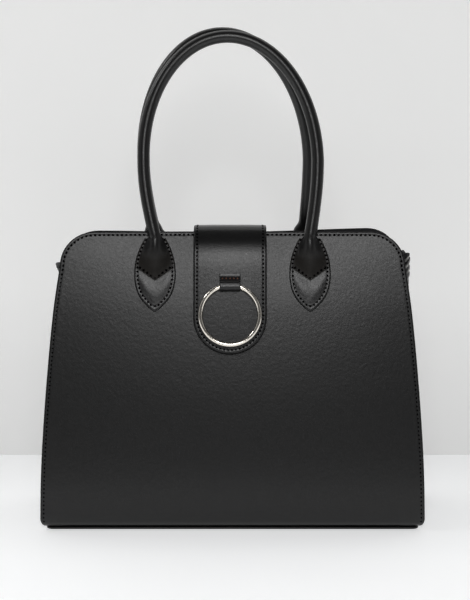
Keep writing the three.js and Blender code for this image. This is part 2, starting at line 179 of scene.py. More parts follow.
HANDLE = {"radius": 6.1, "foot_top": 283.0, "bow": 356.0, "apex_gap": 0.25, "lean_power": 1.35}
HANDLE_SIDES = 32
HANDLE_GROOVE = 0.45
# Height, half width, thickness, depth of the V, thickness at the sides and sharpness of a foot's ridge
FOOT_ROWS = {
    FRONT: (
        (251.0, 16.4, 1.9, 11.0, 0.9, 1.0),
        (256.0, 15.9, 3.1, 8.6, 1.0, 1.2),
        (262.0, 14.9, 5.7, 5.6, 1.2, 1.45),
        (268.0, 13.0, 8.9, 3.0, 1.5, 1.4),
        (274.0, 10.4, 11.2, 1.1, 2.4, 1.05),
        (279.0, 8.0, 12.1, 0.3, 4.2, 0.68),
        (283.0, 6.1, 12.2, 0.0, 6.1, 0.5),
    ),
    BACK: (
        (251.0, 16.4, 1.9, 11.0, 0.9, 1.2),
        (256.0, 16.0, 2.7, 9.0, 0.9, 1.6),
        (262.0, 15.3, 4.2, 6.4, 0.9, 2.3),
        (268.0, 14.2, 6.2, 4.0, 1.2, 2.4),
        (274.0, 12.9, 8.4, 2.0, 2.2, 1.7),
        (279.0, 11.8, 11.0, 0.8, 4.0, 0.85),
        (283.0, 10.6, 12.2, 0.0, 6.1, 0.5),
    ),
}
FOOT_SEAT = 0.08
# Height over which a foot's flare dies out in the tube, and the share of it on the tube's right
FOOT_FLARE = {FRONT: 0.0, BACK: 10.5}
FLARE_RIGHT = 0.55
# Heights from which a foot leans sideways, turns upright and loses its dull finish, and the rise of each
FOOT_LEANS = {"at": 258.0, "over": 25.0}
FOOT_STANDS = {"at": 256.0, "over": 24.0}
FOOT_SHINES = {"at": 258.0, "over": 18.0}
# The sway leans a handle sideways at its top, and the lean does so at its feet
HANDLES = {
    "handle_front": dict(side=FRONT, middle=-1.8, half_width=84.6, apex=475.0, sway=-3.0, lean=0.0),
    "handle_back": dict(side=BACK, middle=-6.4, half_width=82.3, apex=478.6, sway=-3.5, lean=-3.4),
}

# Distance in from a cut edge, and how far the leather's face lies over its plain height there
EDGE_PROFILE = (
    (0.0, -0.95),
    (0.25, -0.45),
    (0.6, -0.16),
    (1.1, 0.0),
    (2.0, 0.06),
    (2.5, 0.02),
    (2.9, -0.06),
    (3.4, -0.12),
    (3.9, -0.06),
    (4.3, 0.0),
    (5.0, 0.04),
    (6.5, 0.03),
    (9.0, 0.0),
)
EDGE_INSETS = [row[0] for row in EDGE_PROFILE]
PAINTED_EDGE = 0.7
STITCH_IN = 3.4
STITCH_LIFT = -0.2
# Kinds of stitch: shares of the set length, width and pitch, and the height in metres
STITCH_KINDS = {
    "plain": (1.0, 1.0, 1.0, 0.0009),
    "fine": (0.72, 0.66, 0.92, 0.0008),
    "short": (0.76, 0.9, 0.89, 0.0009),
    "small": (0.9, 0.9, 0.94, 0.0008),
}
# Size and pitch of the stitches on the keeper, in metres
KEEPER_STITCH = (0.0016, 0.0018, 0.0013)
KEEPER_PITCH = 0.0036

# Reach of the floor and the wall, in metres
STAGE_REACH = {"side": 2.2, "front": 1.3, "up": 2.0}
# Name, place, target and size of each light in metres, and its power in watts; the softbox's is a setting
SOFTBOX = ("softbox", (0.0, -1.79, 1.115), (0.0, 0.0, 0.22), (0.62, 0.78))
LIGHTS = (
    ("rim_light", (-1.14, -0.12, 1.2), (-0.15, 0.0, 0.27), (0.22, 0.32), 2.4),
    ("left_card", (-1.3, -0.6, 0.4), (0.0, 0.0, 0.25), (0.5, 1.2), 0.7),
    ("right_card", (1.3, -0.6, 0.4), (0.0, 0.0, 0.25), (0.5, 1.2), 0.7),
    ("wall_fill", (0.0, 0.07, 0.36), (0.0, 1.0, 0.36), (0.24, 0.16), 0.03),
)
BACK_LIGHT = {"off_wall": 0.02, "height": 1.4, "size": (2.8, 1.2), "power": 6.0}
# Where along its axis the glow of the floor and of the wall changes, and its strengths there
FLOOR_GLOW = (-0.15, 0.2, 0.66, 0.45)
WALL_GLOW = (0.0, 0.2, 0.27, 0.47)
# Strength of the surroundings as light, and as the picture shows them
ROOM_LIGHT, ROOM_SEEN = 0.085, 0.74
CAMERA = {"place": (0.0024, -1.415, 0.403), "tilt": 82.5, "sensor": 36.0, "focal_share": 1432 / 600}


# Properties


def colour_setting(name, description, default):
    return bpy.props.FloatVectorProperty(
        name=name, description=description, subtype="COLOR", size=3, min=0.0, max=1.0, default=default
    )


def length_setting(name, description, least, most, default):
    return bpy.props.FloatProperty(
        name=name, description=description, unit="LENGTH", min=least, max=most, default=default
    )


class ToteLeather(bpy.types.PropertyGroup):
    """Colours and finish of the leather and the lining"""

    leather: colour_setting("Leather", "Colour of the smooth leather", (0.0052, 0.0052, 0.0053))
    handle: colour_setting("Rolled Leather", "Colour of the handles' leather", (0.0046, 0.0046, 0.0047))
    edge_paint: colour_setting("Edge Paint", "Colour of the painted cut edges", (0.003, 0.003, 0.003))
    lining: colour_setting("Lining", "Colour of the woven lining", (0.022, 0.022, 0.024))
    roughness: bpy.props.FloatProperty(
        name="Roughness",
        description="Middle roughness of the satin finish",
        subtype="FACTOR",
        min=0.0,
        max=1.0,
        default=0.34,
    )
    grain: length_setting("Grain Size", "Width of one pebble of the leather's grain", 0.0002, 0.005, 0.0011)


class ToteStitching(bpy.types.PropertyGroup):
    """Sizes and colours of the stitching"""

    pitch: length_setting("Pitch", "Distance from one stitch to the next", 0.002, 0.01, 0.0043)
    length: length_setting("Length", "Length of the thread that shows in one stitch", 0.001, 0.008, 0.0029)
    # Painted shade in part: the thread is wider and darker than real thread, so each stitch also stands in
    # for the shade in its hole
    width: length_setting("Width", "Thickness of the thread", 0.0004, 0.004, 0.0029)
    thread: colour_setting("Thread", "Colour of the thread", (0.0012, 0.0012, 0.0012))
    keeper_thread: colour_setting(
        "Keeper Thread", "Colour of the thread on the ring's keeper", (0.17, 0.08, 0.055)
    )
    seed: bpy.props.IntProperty(
        name="Seed",
        description="Seed of the small differences between stitches",
        min=0,
        default=7,
    )


class ToteStage(bpy.types.PropertyGroup):
    """Floor, wall and light of the studio"""

    floor: colour_setting("Floor", "Colour of the floor", (0.78, 0.785, 0.79))
    wall: colour_setting("Wall", "Colour of the wall", (0.72, 0.72, 0.715))
    wall_distance: length_setting(
        "Wall Distance", "Distance from the middle of the bag to the wall", 0.1, 3.0, 0.241
    )
    softbox: bpy.props.FloatProperty(
        name="Softbox",
        description="Power of the large light in front, above the camera",
        subtype="POWER",
        min=0.0,
        max=200.0,
        default=10.4,
    )


# Shapes of the bag, in millimetres


def smooth(table, height, column):
    """Value of a table's column at each height, on a smooth curve through its rows."""
    heights = np.array([row[0] for row in table], float)
    values = np.array([row[column] for row in table], float)
    slopes = np.empty_like(values)
    slopes[1:-1] = (values[2:] - values[:-2]) / (heights[2:] - heights[:-2])
    slopes[0] = (values[1] - values[0]) / (heights[1] - heights[0])
    slopes[-1] = (values[-1] - values[-2]) / (heights[-1] - heights[-2])
    height = np.asarray(height, float)
    k = np.clip(np.searchsorted(heights, height) - 1, 0, len(heights) - 2)
    span = heights[k + 1] - heights[k]
    t = (height - heights[k]) / span
    rise = values[k + 1] - values[k]
    low = slopes[k] * span - rise
    high = rise - slopes[k + 1] * span
    return values[k] + rise * t + t * (1 - t) * (low * (1 - t) + high * t)


def ease(share):
    """Smooth step from 0 to 1."""
    share = np.clip(share, 0.0, 1.0)
    return share * share * (3 - 2 * share)


def step_up(height, change):
    """Smooth step from 0 to 1 over the heights of a change."""
    return ease((height - change["at"]) / change["over"])


def panel_half_width(z):
    return smooth(PANEL_ROWS, z, 1)


def face_depth(x, z):
    """Distance of a panel's outer face from the bag's middle plane."""
    edge = smooth(PANEL_ROWS, z, 2)
    middle = smooth(PANEL_ROWS, z, 3)
    across = x / panel_half_width(z)
    return middle + (edge - middle) * across * across


def turn_angle(height):
    """Angle round the turned-under lower edge at a developed height, from 0 underneath to a quarter turn."""
    return np.clip((height - TURN_START) / PANEL["turn_radius"], 0, math.pi / 2)


def panel_edge(height):
    """Half width of a panel at a developed height: its face, its turned edge, or the flange under the bag."""
    face = panel_half_width(np.maximum(height, TURN_CENTRE))
    turned = panel_half_width(TURN_CENTRE) - PANEL["foot_corner"] * (1 - np.sin(turn_angle(height)))
    foot = panel_half_width(TURN_CENTRE) - PANEL["foot_corner"]
    inwards = np.clip((TURN_START - height) / PANEL["flange"], 0, 1)
    flange = foot + (PANEL["flange_half_width"] - foot) * inwards
    return np.where(height >= TURN_CENTRE, face, np.where(height >= TURN_START, turned, flange))


def panel_points(flat, side, lift):
    """Places developed points (x, height) on a panel, lifted off its outer face."""
    x, height = flat[:, 0], flat[:, 1]
    z = np.maximum(height, TURN_CENTRE)
    slope_x = face_depth(x + 0.5, z) - face_depth(x - 0.5, z)
    slope_z = face_depth(x, z + 0.5) - face_depth(x, z - 0.5)
    outward = np.stack([-slope_x, np.ones_like(x), -slope_z], axis=1)
    outward /= np.linalg.norm(outward, axis=1, keepdims=True)
    angle = turn_angle(height)
    turned = np.stack([np.zeros_like(x), np.sin(angle), -np.cos(angle)], axis=1)
    below = (height < TURN_CENTRE)[:, None]
    radius = PANEL["turn_radius"]
    centre = face_depth(0.0, TURN_CENTRE) - radius
    under = np.stack([x, centre + radius * np.sin(angle), TURN_CENTRE - radius * np.cos(angle)], axis=1)
    under[:, 1] -= np.maximum(0, TURN_START - height)
    face = np.stack([x, face_depth(x, z), z], axis=1)
    points = np.where(below, under, face) + np.where(below, turned, outward) * np.asarray(lift)[..., None]
    points[:, 1] *= side
    return points


def panel_outline(side):
    """Outline of a developed panel, up its left edge, over its top and down its right edge, and the number
    of steps up to the middle of its upper left corner."""
    heights = np.concatenate(
        [
            np.linspace(TURN_START - PANEL["flange"], TURN_START, 4)[:-1],
            np.linspace(TURN_START, TURN_CENTRE, 9)[:-1],
            np.linspace(TURN_CENTRE, CORNER_START, 61),
        ]
    )
    edge = panel_edge(heights)
    straight = panel_half_width(CORNER_START) - PANEL["corner_reach"]
    angles = np.linspace(0, math.pi / 2, 13)
    corner_x = straight + PANEL["corner_reach"] * np.cos(angles)
    halves = []
    for end in (LEFT, RIGHT):
        rise = PANEL["corner_rise"] - (TOP_DROP[side] if end == LEFT else 0)
        x = np.concatenate([edge[:-1], corner_x]) * end
        z = np.concatenate([heights[:-1], CORNER_START + rise * np.sin(angles)])
        halves.append(np.stack([x, z], axis=1))
    run = np.linspace(-straight, straight, 67)[1:-1]
    share = run / straight
    drop = TOP_DROP[side] * (1 - share) / 2 + TOP_DIP[side] * (1 - share**2) ** 2
    drop += FLAP_DIP * ease((FLAP["half_width"] - 1 - np.abs(run - FLAP["x"])) / 10)
    middle = np.stack([run, PANEL["height"] - drop], axis=1)
    return np.concatenate([halves[0], middle, halves[1][::-1]]), len(heights) + 5


def inward_normals(outline, level_ends):
    """Directions square to an outline, to the right of its run. With level_ends its ends point along x."""
    along = np.gradient(outline, axis=0)
    along /= np.linalg.norm(along, axis=1, keepdims=True)
    normals = np.stack([along[:, 1], -along[:, 0]], axis=1)
    if level_ends:
        normals[0] = (1, 0)
        normals[-1] = (-1, 0)
    return normals


def sheet_layout(outline, rows, insets):
    """Flat layout of a sheet from its outline, with a number of steps up each side: strips that follow its
    edge and a patch inside them. Gives the points, each point's distance in from the edge, and the quads."""
    count = len(outline)
    normals = inward_normals(outline, True)
    rings = [outline + normals * inset for inset in insets]
    quads = []
    for ring in range(len(insets) - 1):
        for k in range(count - 1):
            a = ring * count + k
            quads.append((a, a + 1, a + 1 + count, a + count))
    inner = rings[-1]
    base = (len(insets) - 1) * count
    columns = count - 1 - 2 * rows
    low, high = inner[: rows + 1], inner[count - 1 : count - 2 - rows : -1]
    end = inner[rows : rows + columns + 1]
    across = (end[:, 0] - end[0, 0]) / (end[-1, 0] - end[0, 0])
    up = (low[:, 1] - low[0, 1]) / (low[-1, 1] - low[0, 1])
    index = np.zeros((rows + 1, columns + 1), int)
    points = [np.concatenate(rings)]
    fresh = len(insets) * count
    for r in range(rows + 1):
        for c in range(columns + 1):
            if c == 0:
                index[r, c] = base + r
            elif c == columns:
                index[r, c] = base + count - 1 - r
            elif r == rows:
                index[r, c] = base + rows + c
            else:
                u, v = across[c], up[r]
                foot = low[0] + (high[0] - low[0]) * u
                patch = (1 - v) * foot + v * end[c] + (1 - u) * low[r] + u * high[r]
                patch -= (1 - u) * (1 - v) * low[0] + u * (1 - v) * high[0]
                patch -= (1 - u) * v * end[0] + u * v * end[-1]
                points.append(patch[None])
                index[r, c] = fresh
                fresh += 1
    for r in range(rows):
        for c in range(columns):
            quads.append((index[r, c], index[r + 1, c], index[r + 1, c + 1], index[r, c + 1]))
    points = np.concatenate(points)
    inset = np.full(len(points), FAR)
    inset[: len(insets) * count] = np.repeat(insets, count)
    return points, inset, np.array(quads, int)


def grid_layout(rows, columns):
    """Quads of a plain grid of points, row by row."""
    r, c = np.meshgrid(np.arange(rows - 1), np.arange(columns - 1), indexing="ij")
    a = (r * columns + c).ravel()
    return np.stack([a, a + 1, a + 1 + columns, a + columns], axis=1)


def ring_quads(rings, count):
    """Quads between closed rings of points, with a count of points in each."""
    quads = []
    for ring in range(rings - 1):
        for k in range(count):
            a, b = ring * count + k, ring * count + (k + 1) % count
            quads.append((a, b, b + count, a + count))
    return quads


def edge_lift(inset, share=1.0):
    """Height of a leather face by its distance in from a cut edge, with the groove for the stitches."""
    return share * np.interp(inset, EDGE_INSETS, [row[1] for row in EDGE_PROFILE])


def back_lift(inset, share=1.0):
    """How far a sheet's back face is rounded off at a cut edge."""
    return share * np.interp(inset, (0.0, 0.25, 0.6, 1.1), (0.9, 0.42, 0.14, 0.0))


# Meshes and materials


def link_piece(name, mesh):
    piece = bpy.data.objects.new(name, mesh)
    bpy.context.scene.collection.objects.link(piece)
    return piece


def plain_mesh(name, points, faces, materials=(), indices=None):
    """Smooth mesh in metres from points in millimetres, turned to face outwards."""
    points = np.asarray(points, float)
    faces = [tuple(int(k) for k in face) for face in faces]
    volume = 0.0
    for face in faces:
        for k in range(1, len(face) - 1):
            volume += np.dot(points[face[0]], np.cross(points[face[k]], points[face[k + 1]]))
    if volume < 0:
        faces = [face[::-1] for face in faces]
    mesh = bpy.data.meshes.new(name)
    mesh.from_pydata((points * MM).tolist(), [], faces)
    for material in materials:
        mesh.materials.append(material)
    if indices is not None:
        mesh.polygons.foreach_set("material_index", np.asarray(indices, np.int32))
    mesh.shade_smooth()
    mesh.update()
    if mesh.validate():
        raise RuntimeError(f"{name} has faces that aren't valid")
    return mesh


def closed_sheet(name, outer, inner, faces, finishes, rim_faces=None):
    """Closed sheet between two skins that share one layout. finishes are its face, painted edge and back."""
    count = len(outer)
    faces = [tuple(int(k) for k in face) for face in faces]
    edges = dict.fromkeys(edge for face in faces for edge in zip(face, face[1:] + face[:1]))
    border = [(a, b) for a, b in edges if (b, a) not in edges]
    back = [tuple(k + count for k in face[::-1]) for face in faces]
    rim = [(b, a, a + count, b + count) for a, b in border]
    painted = np.zeros(len(faces), int) if rim_faces is None else np.asarray(rim_faces, int)
    indices = np.concatenate([painted, np.where(painted == 1, 1, 2), np.ones(len(rim), int)])
    return plain_mesh(name, np.concatenate([outer, inner]), faces + back + rim, finishes, indices)


def set_share(mesh, name, values):
    """Gives each point of a mesh a named share, for its material."""
    mesh.attributes.new(name, "FLOAT", "POINT").data.foreach_set("value", values.astype(np.float32))


def near_edge(quads, inset, limit):
    """1 for each quad of a layout that lies within a limit of the cut edge, otherwise 0."""
    return (inset[quads].max(axis=1) <= limit).astype(int)


class NodeSheet:
    """Short calls that add and join the nodes of one material."""

    def __init__(self, name):
        self.material = bpy.data.materials.new(name)
        self.material.use_nodes = True
        self.tree = self.material.node_tree
        self.shader = self.tree.nodes["Principled BSDF"]

    def node(self, kind, **settings):
        made = self.tree.nodes.new(kind)
        for key, value in settings.items():
            if key in made.inputs:
                made.inputs[key].default_value = value
            else:
                setattr(made, key, value)
        return made

    def join(self, source, target):
        self.tree.links.new(source, target)

    def set(self, **values):
        for key, value in values.items():
            self.shader.inputs[key.replace("_", " ")].default_value = value

    def drive(self, **sources):
        for key, source in sources.items():
            self.join(source, self.shader.inputs[key.replace("_", " ")])

    def coordinates(self):
        return self.node("ShaderNodeTexCoord").outputs["Object"]

    def noise(self, place, scale, detail=3.0, roughness=0.5):
        made = self.node("ShaderNodeTexNoise", Scale=scale, Detail=detail, Roughness=roughness)
        self.join(place, made.inputs["Vector"])
        return made.outputs["Fac"]

    def ramp(self, source, low, high, out_low, out_high):
        ends = {"From Min": low, "From Max": high, "To Min": out_low, "To Max": out_high}
        made = self.node("ShaderNodeMapRange", **ends)
        self.join(source, made.inputs["Value"])
        return made.outputs["Result"]

    def shades(self, source, dark, light):
        made = self.node("ShaderNodeMix", data_type="RGBA")
        sockets = [socket for socket in made.inputs if socket.type == "RGBA"]
        for socket, colour in zip(sockets, (dark, light)):
            if isinstance(colour, bpy.types.NodeSocket):
                self.join(colour, socket)
            else:
                socket.default_value = (*colour, 1)
        self.join(source, made.inputs["Factor"])
        return [socket for socket in made.outputs if socket.type == "RGBA"][0]

    def bump(self, source, strength, distance, below=None):
        made = self.node("ShaderNodeBump", Strength=strength, Distance=distance)
        self.join(source, made.inputs["Height"])
        if below is not None:
            self.join(below, made.inputs["Normal"])
        return made.outputs["Normal"]


# Painted highlight: pale tone laid on the right gusset's small creases, standing in for light glinting on
# them
PAINTED_GLINT_TONE = (0.55, 0.54, 0.52)
DULL_TONE = (0.014, 0.0125, 0.0112)
DULL_SHINE = 0.42


def around(colour, low, high):
    """A darker and a lighter shade of a colour."""
    return [c * low for c in colour], [min(c * high, 1) for c in colour]


def leather_material(name, colour, roughness, grain, creases, specular, marked=None):
    """Smooth leather: a fine pebbled grain, soft creases, and a satin finish that varies a little. It can be
    marked by an attribute: it is painted pale where the glint attribute is high, a painted highlight that
    stands in for light glinting on creases, or it turns matt where dull is high."""
    sheet = NodeSheet(name)
    place = sheet.coordinates()
    pebbles = sheet.node("ShaderNodeTexVoronoi", Scale=1.0 / grain, Randomness=0.9)
    pebbles.feature = "SMOOTH_F1"
    pebbles.inputs["Smoothness"].default_value = 0.6
    sheet.join(place, pebbles.inputs["Vector"])
    fine = sheet.noise(place, 450.0, 4.0, 0.6)
    satin = sheet.noise(place, 800.0, 2.0)
    soft = sheet.noise(place, 300.0, 1.0, 0.4)
    tone = sheet.shades(sheet.ramp(soft, 0.3, 0.7, 0.0, 1.0), *around(colour, 0.86, 1.14))
    # Painted highlight: the tone turns pale where the glint attribute is high, for light glinting on creases
    if marked == "painted_glint":
        painted_glint = sheet.node("ShaderNodeAttribute", attribute_name="painted_glint").outputs["Fac"]
        tone = sheet.shades(painted_glint, tone, PAINTED_GLINT_TONE)
    if marked == "dull":
        dull = sheet.node("ShaderNodeAttribute", attribute_name="dull").outputs["Fac"]
        tone = sheet.shades(dull, tone, DULL_TONE)
        shine = sheet.ramp(dull, 0.0, 1.0, specular, specular * DULL_SHINE)
        sheet.drive(Specular_IOR_Level=shine)
    gloss = sheet.ramp(satin, 0.2, 0.8, roughness - 0.06, roughness + 0.06)
    relief = sheet.bump(pebbles.outputs["Distance"], 0.25, 0.0001)
    relief = sheet.bump(fine, 0.5, 0.0001, relief)
    relief = sheet.bump(soft, creases, 0.0003, relief)
    sheet.drive(Base_Color=tone, Roughness=gloss, Normal=relief)
    sheet.set(Specular_IOR_Level=specular)
    return sheet.material


def edge_paint_material(name, colour):
    """Edge paint: thicker and duller than the leather, with slight ripples."""
    sheet = NodeSheet(name)
    place = sheet.coordinates()
    ripples = sheet.noise(place, 420.0, 2.0)
    sheet.drive(
        Base_Color=sheet.shades(ripples, *around(colour, 0.8, 1.25)),
        Roughness=sheet.ramp(ripples, 0.3, 0.7, 0.45, 0.6),
        Normal=sheet.bump(ripples, 0.25, 0.0002),
    )
    sheet.set(Specular_IOR_Level=0.14)
    return sheet.material


def lining_material(name, colour):
    """Woven lining: fine warp and weft with a slub here and there."""
    sheet = NodeSheet(name)
    place = sheet.coordinates()
    threads = []
    for direction in ("X", "Z"):
        wave = sheet.node("ShaderNodeTexWave", bands_direction=direction, Scale=340.0, Distortion=0.6)
        wave.inputs["Detail"].default_value = 1.0
        sheet.join(place, wave.inputs["Vector"])
        threads.append(wave.outputs["Fac"])
    weave = sheet.node("ShaderNodeMath", operation="MAXIMUM")
    sheet.join(threads[0], weave.inputs[0])
    sheet.join(threads[1], weave.inputs[1])
    slubs = sheet.noise(place, 160.0, 3.0)
    sheet.drive(
        Base_Color=sheet.shades(slubs, *around(colour, 0.7, 1.35)),
        Normal=sheet.bump(weave.outputs[0], 0.35, 0.0002),
        Roughness=sheet.ramp(slubs, 0.3, 0.7, 0.72, 0.86),
    )
    sheet.set(Specular_IOR_Level=0.25, Sheen_Weight=0.08, Sheen_Roughness=0.6)
    return sheet.material


def thread_material(name, colour):
    """Waxed thread with a fine twist, near black: partly the thread's own colour, partly painted shade of the
    stitch holes.
    """
    sheet = NodeSheet(name)
    place = sheet.coordinates()
    twist = sheet.node("ShaderNodeTexWave", bands_direction="DIAGONAL", Scale=900.0, Distortion=1.5)
    sheet.join(place, twist.inputs["Vector"])
    sheet.drive(
        Base_Color=sheet.shades(twist.outputs["Fac"], *around(colour, 0.7, 1.3)),
        Normal=sheet.bump(twist.outputs["Fac"], 0.4, 0.0001),
        Roughness=sheet.ramp(twist.outputs["Fac"], 0.0, 1.0, 0.82, 0.95),
    )
    sheet.set(Specular_IOR_Level=0.02)
    return sheet.material


def metal_material(name, colour, roughness, scratches):
    """Plated metal with faint polishing marks."""
    sheet = NodeSheet(name)
    place = sheet.coordinates()
    marks = sheet.noise(place, 900.0, 4.0, 0.6)
    haze = sheet.noise(place, 120.0, 2.0)
    sheet.drive(
        Base_Color=sheet.shades(haze, *around(colour, 0.95, 1.0)),
        Roughness=sheet.ramp(marks, 0.3, 0.75, roughness, roughness + scratches),
        Normal=sheet.bump(marks, 0.02, 0.00001),
    )
    sheet.set(Metallic=1.0)
    return sheet.material


def finish(name):
    """One of the bag's materials by name, made the first time that it is asked for."""
    found = bpy.data.materials.get(name)
    if found:
        return found
    skin = bpy.context.scene.tote_leather
    sewing = bpy.context.scene.tote_stitching
    plain, satin, matt = skin.roughness, skin.roughness - 0.02, skin.roughness + 0.1
    # Colour, roughness, grain size, depth of the creases, shine, and an attribute that marks it
    leathers = {
        "smooth_leather": (skin.leather, plain, skin.grain, 0.34, 0.42),
        # The creased leather carries painted glints of light, set by its attribute
        "creased_leather": (skin.leather, plain, skin.grain, 0.34, 0.42, "painted_glint"),
        "satin_trim": (skin.leather, satin, skin.grain, 0.28, 0.42),
        "padded_trim": (skin.leather, satin, skin.grain, 0.28, 0.42, "dull"),
        "rolled_leather": (skin.handle, satin, skin.grain * 0.7, 0.15, 0.5, "dull"),
        "matt_base": (skin.handle, matt, skin.grain, 0.4, 0.42),
    }
    others = {
        "edge_paint": (edge_paint_material, skin.edge_paint),
        "woven_lining": (lining_material, skin.lining),
        "thread": (thread_material, sewing.thread),
        "keeper_thread": (thread_material, sewing.keeper_thread),
        "polished_ring": (metal_material, (0.88, 0.83, 0.75), 0.12, 0.02),
        "dull_snap": (metal_material, (0.36, 0.35, 0.33), 0.34, 0.12),
    }
    if name in leathers:
        return leather_material(name, *leathers[name])
    if name in others:
        maker, *values = others[name]
        return maker(name, *values)
    raise RuntimeError(f"there is no finish named {name}")


# Panels, gussets and base


def panel_undulation(flat):
    """Slight unevenness of a leather panel over its board, dying out at its edges."""
    x, z = flat[:, 0], flat[:, 1]
    fade = ease((panel_edge(z) - np.abs(x) - 8) / 45)
    fade *= ease((PANEL["height"] - z - 10) / 45) * ease((z - 16) / 40)
    waves = np.sin(x / 33 + 1.3) * np.sin(z / 41 + 0.6) + 0.7 * np.sin(x / 71 - z / 57 + 2.0)
    return UNEVENNESS * fade * waves


def build_panel(side, name):
    """Leather panel with a lined back, painted edges and a lower edge turned under."""
    points, inset, quads = sheet_layout(*panel_outline(side), EDGE_INSETS)
    uneven = panel_undulation(points)
    outer = panel_points(points, side, edge_lift(inset) + uneven)
    inner = panel_points(points, side, back_lift(inset) - PANEL["wall"] + np.minimum(uneven, 0))
    finishes = [finish("smooth_leather"), finish("edge_paint"), finish("woven_lining")]
    return closed_sheet(name, outer, inner, quads, finishes, near_edge(quads, inset, PAINTED_EDGE))


def crinkled(rise):
    """Share of the small creases in the right gusset at a share of its height."""
    return ease((rise - CRINKLE["start"]) / (CRINKLE["full"] - CRINKLE["start"]))


def crinkle(height, across):
    """Small creases of the right gusset at a height, from -1 to 1."""
    return np.sin(height / CRINKLE["wave"] + 7 * across + 1.5 * np.sin(23 * across))


def painted_glint_share(height, across):
    """Share of a crease that is painted pale as a glint of light, a painted highlight, in patches on the
    outer folds.
    """
    fold = np.exp(-(((across - GLINT_FOLD["at"]) / GLINT_FOLD["width"]) ** 2))
    return fold * np.clip(0.8 + 0.4 * np.sin(41 * across + 0.55 * height), 0, 1)


def gusset_rise(height):
    """Share of the way up a gusset, over its turned foot."""
    return (height - TURN_CENTRE) / (CORNER_START - TURN_CENTRE)


def gusset_line(height, angle, half_width, rise, side, lowest):
    """Middle line of a gusset in plan at one level, from the front seam's free edge to the back seam's."""
    inset = PANEL["wall"] + GAP + GUSSET["wall"] / 2
    fold_x = half_width - GUSSET["seam"]
    if angle is None:
        tip_depth, tip_z = float(face_depth(half_width, height)) - inset, height
        corner_depth, corner_z = float(face_depth(fold_x, height)) - inset, height
    else:
        reach = PANEL["turn_radius"] - inset
        centre = float(face_depth(0.0, TURN_CENTRE)) - PANEL["turn_radius"]
        tip_depth = corner_depth = centre + reach * math.sin(angle)
        tip_z = corner_z = TURN_CENTRE - reach * math.cos(angle)
    lobe = float(smooth(GUSSET_ROWS, corner_z, 1))
    slack = step_up(corner_z, SLACK_SWELLS) * (1 - step_up(corner_z, SLACK_FADES))
    lobe += GUSSET_SLACK[side] * float(slack)
    fold = float(smooth(GUSSET_ROWS, corner_z, 2))
    across = np.linspace(0, 1, GUSSET_COLUMNS + 1)
    inwards = 1 - np.abs(2 * across - 1)
    swell = np.sin(math.pi * inwards)
    x = fold_x + lobe * swell - fold * inwards**2
    y = corner_depth * (2 * across - 1)
    z = corner_z + GUSSET_CREST[side] * swell * rise ** GUSSET["crest_power"]
    if lowest:
        clear = float(face_depth(0.0, TURN_CENTRE)) - PANEL["turn_radius"] - PANEL["flange"] - GAP
        z = np.where(np.abs(y) < clear, BASE["thickness"] + GAP, z)
    wrinkle = ease((rise - WRINKLE_START) / (1 - WRINKLE_START)) * swell * WRINKLE[side]
    x = x + wrinkle * np.sin(corner_z / 2.9 + 9 * across) * np.sin(corner_z / 7.7 + 4 * across)
    if side == RIGHT:
        x = x + CRINKLE["depth"] * crinkled(rise) * swell * crinkle(corner_z, across)
    run = np.linspace(0, 1, SEAM_STEPS + 1)[:-1, None]
    front = np.array([half_width, -tip_depth, tip_z]) * (1 - run) + np.array([x[0], y[0], z[0]]) * run
    web = np.stack([x, y, z], axis=1)
    rear = front[::-1] * np.array([1, -1, 1])
    return np.concatenate([front, web, rear])


def web_line(height, side):
    """Middle line of a gusset at a height over its turned foot."""
    half_width = float(panel_half_width(height))
    return gusset_line(height, None, half_width, gusset_rise(height), side, False)


def plan_offset(line, offset):
    """A line moved sideways in plan by an offset."""
    along = np.gradient(line, axis=0)
    sideways = np.stack([along[:, 1], -along[:, 0]], axis=1)
    sideways /= np.linalg.norm(sideways, axis=1, keepdims=True)
    moved = line.copy()
    moved[:, :2] += sideways * np.asarray(offset)[..., None]
    return moved


def gusset_lines(side):
    """Middle lines of a gusset from its foot to its top, and each line's distance under the top edge."""
    lines, under = [], []
    for k, angle in enumerate(np.radians(np.linspace(22.5, 90, 9)[:-1])):
        half_width = float(panel_half_width(TURN_CENTRE)) - PANEL["foot_corner"] * (1 - math.sin(angle))
        lines.append(gusset_line(None, float(angle), half_width, 0.0, side, k == 0))
        under.append(FAR)
    web = np.linspace(TURN_CENTRE, CORNER_START - HEM, 136)[:-1]
    hem = CORNER_START - np.array([row[0] for row in reversed(HEM_PROFILE)])
    for height in np.concatenate([web, hem]):
        lines.append(web_line(float(height), side))
        under.append(CORNER_START - height)
    return lines, np.array(under)


def hem_lift(under):
    """Extra thickness of the folded hem at a gusset's top edge, with its stitch groove and rounded edge."""
    return np.interp(under, *zip(*HEM_PROFILE))


def build_gusset(side, name):
    """Gusset with a hemmed top, and on the right small creases with pale glints of light painted on them."""
    lines, under = gusset_lines(side)
    half_wall = GUSSET["wall"] / 2
    seam = np.ones(len(lines[0]))
    seam[: SEAM_STEPS + 1] = seam[-SEAM_STEPS - 1 :] = 0
    outer, inner = [], []
    for line, depth in zip(lines, under):
        hem = hem_lift(depth) * seam
        outer.append(plan_offset(line, half_wall + hem))
        inner.append(plan_offset(line, -half_wall - np.minimum(hem, 0)))
    outer, inner = np.concatenate(outer), np.concatenate(inner)
    outer[:, 0] *= side
    inner[:, 0] *= side
    finishes = [finish("creased_leather"), finish("edge_paint"), finish("woven_lining")]
    mesh = closed_sheet(name, outer, inner, grid_layout(len(lines), len(lines[0])), finishes)
    # Painted highlight: pale glints of light laid on the right gusset's creases
    painted_glints = np.zeros((2, len(lines), len(lines[0])))
    if side == RIGHT:
        across = np.linspace(0, 1, GUSSET_COLUMNS + 1)
        for k, height in enumerate(CORNER_START - under):
            pale = np.clip(crinkle(height, across), 0, 1) ** 2 * painted_glint_share(height, across)
            painted_glints[0, k, SEAM_STEPS:-SEAM_STEPS] = crinkled(gusset_rise(height)) * pale
    set_share(mesh, "painted_glint", painted_glints.ravel())
    return mesh


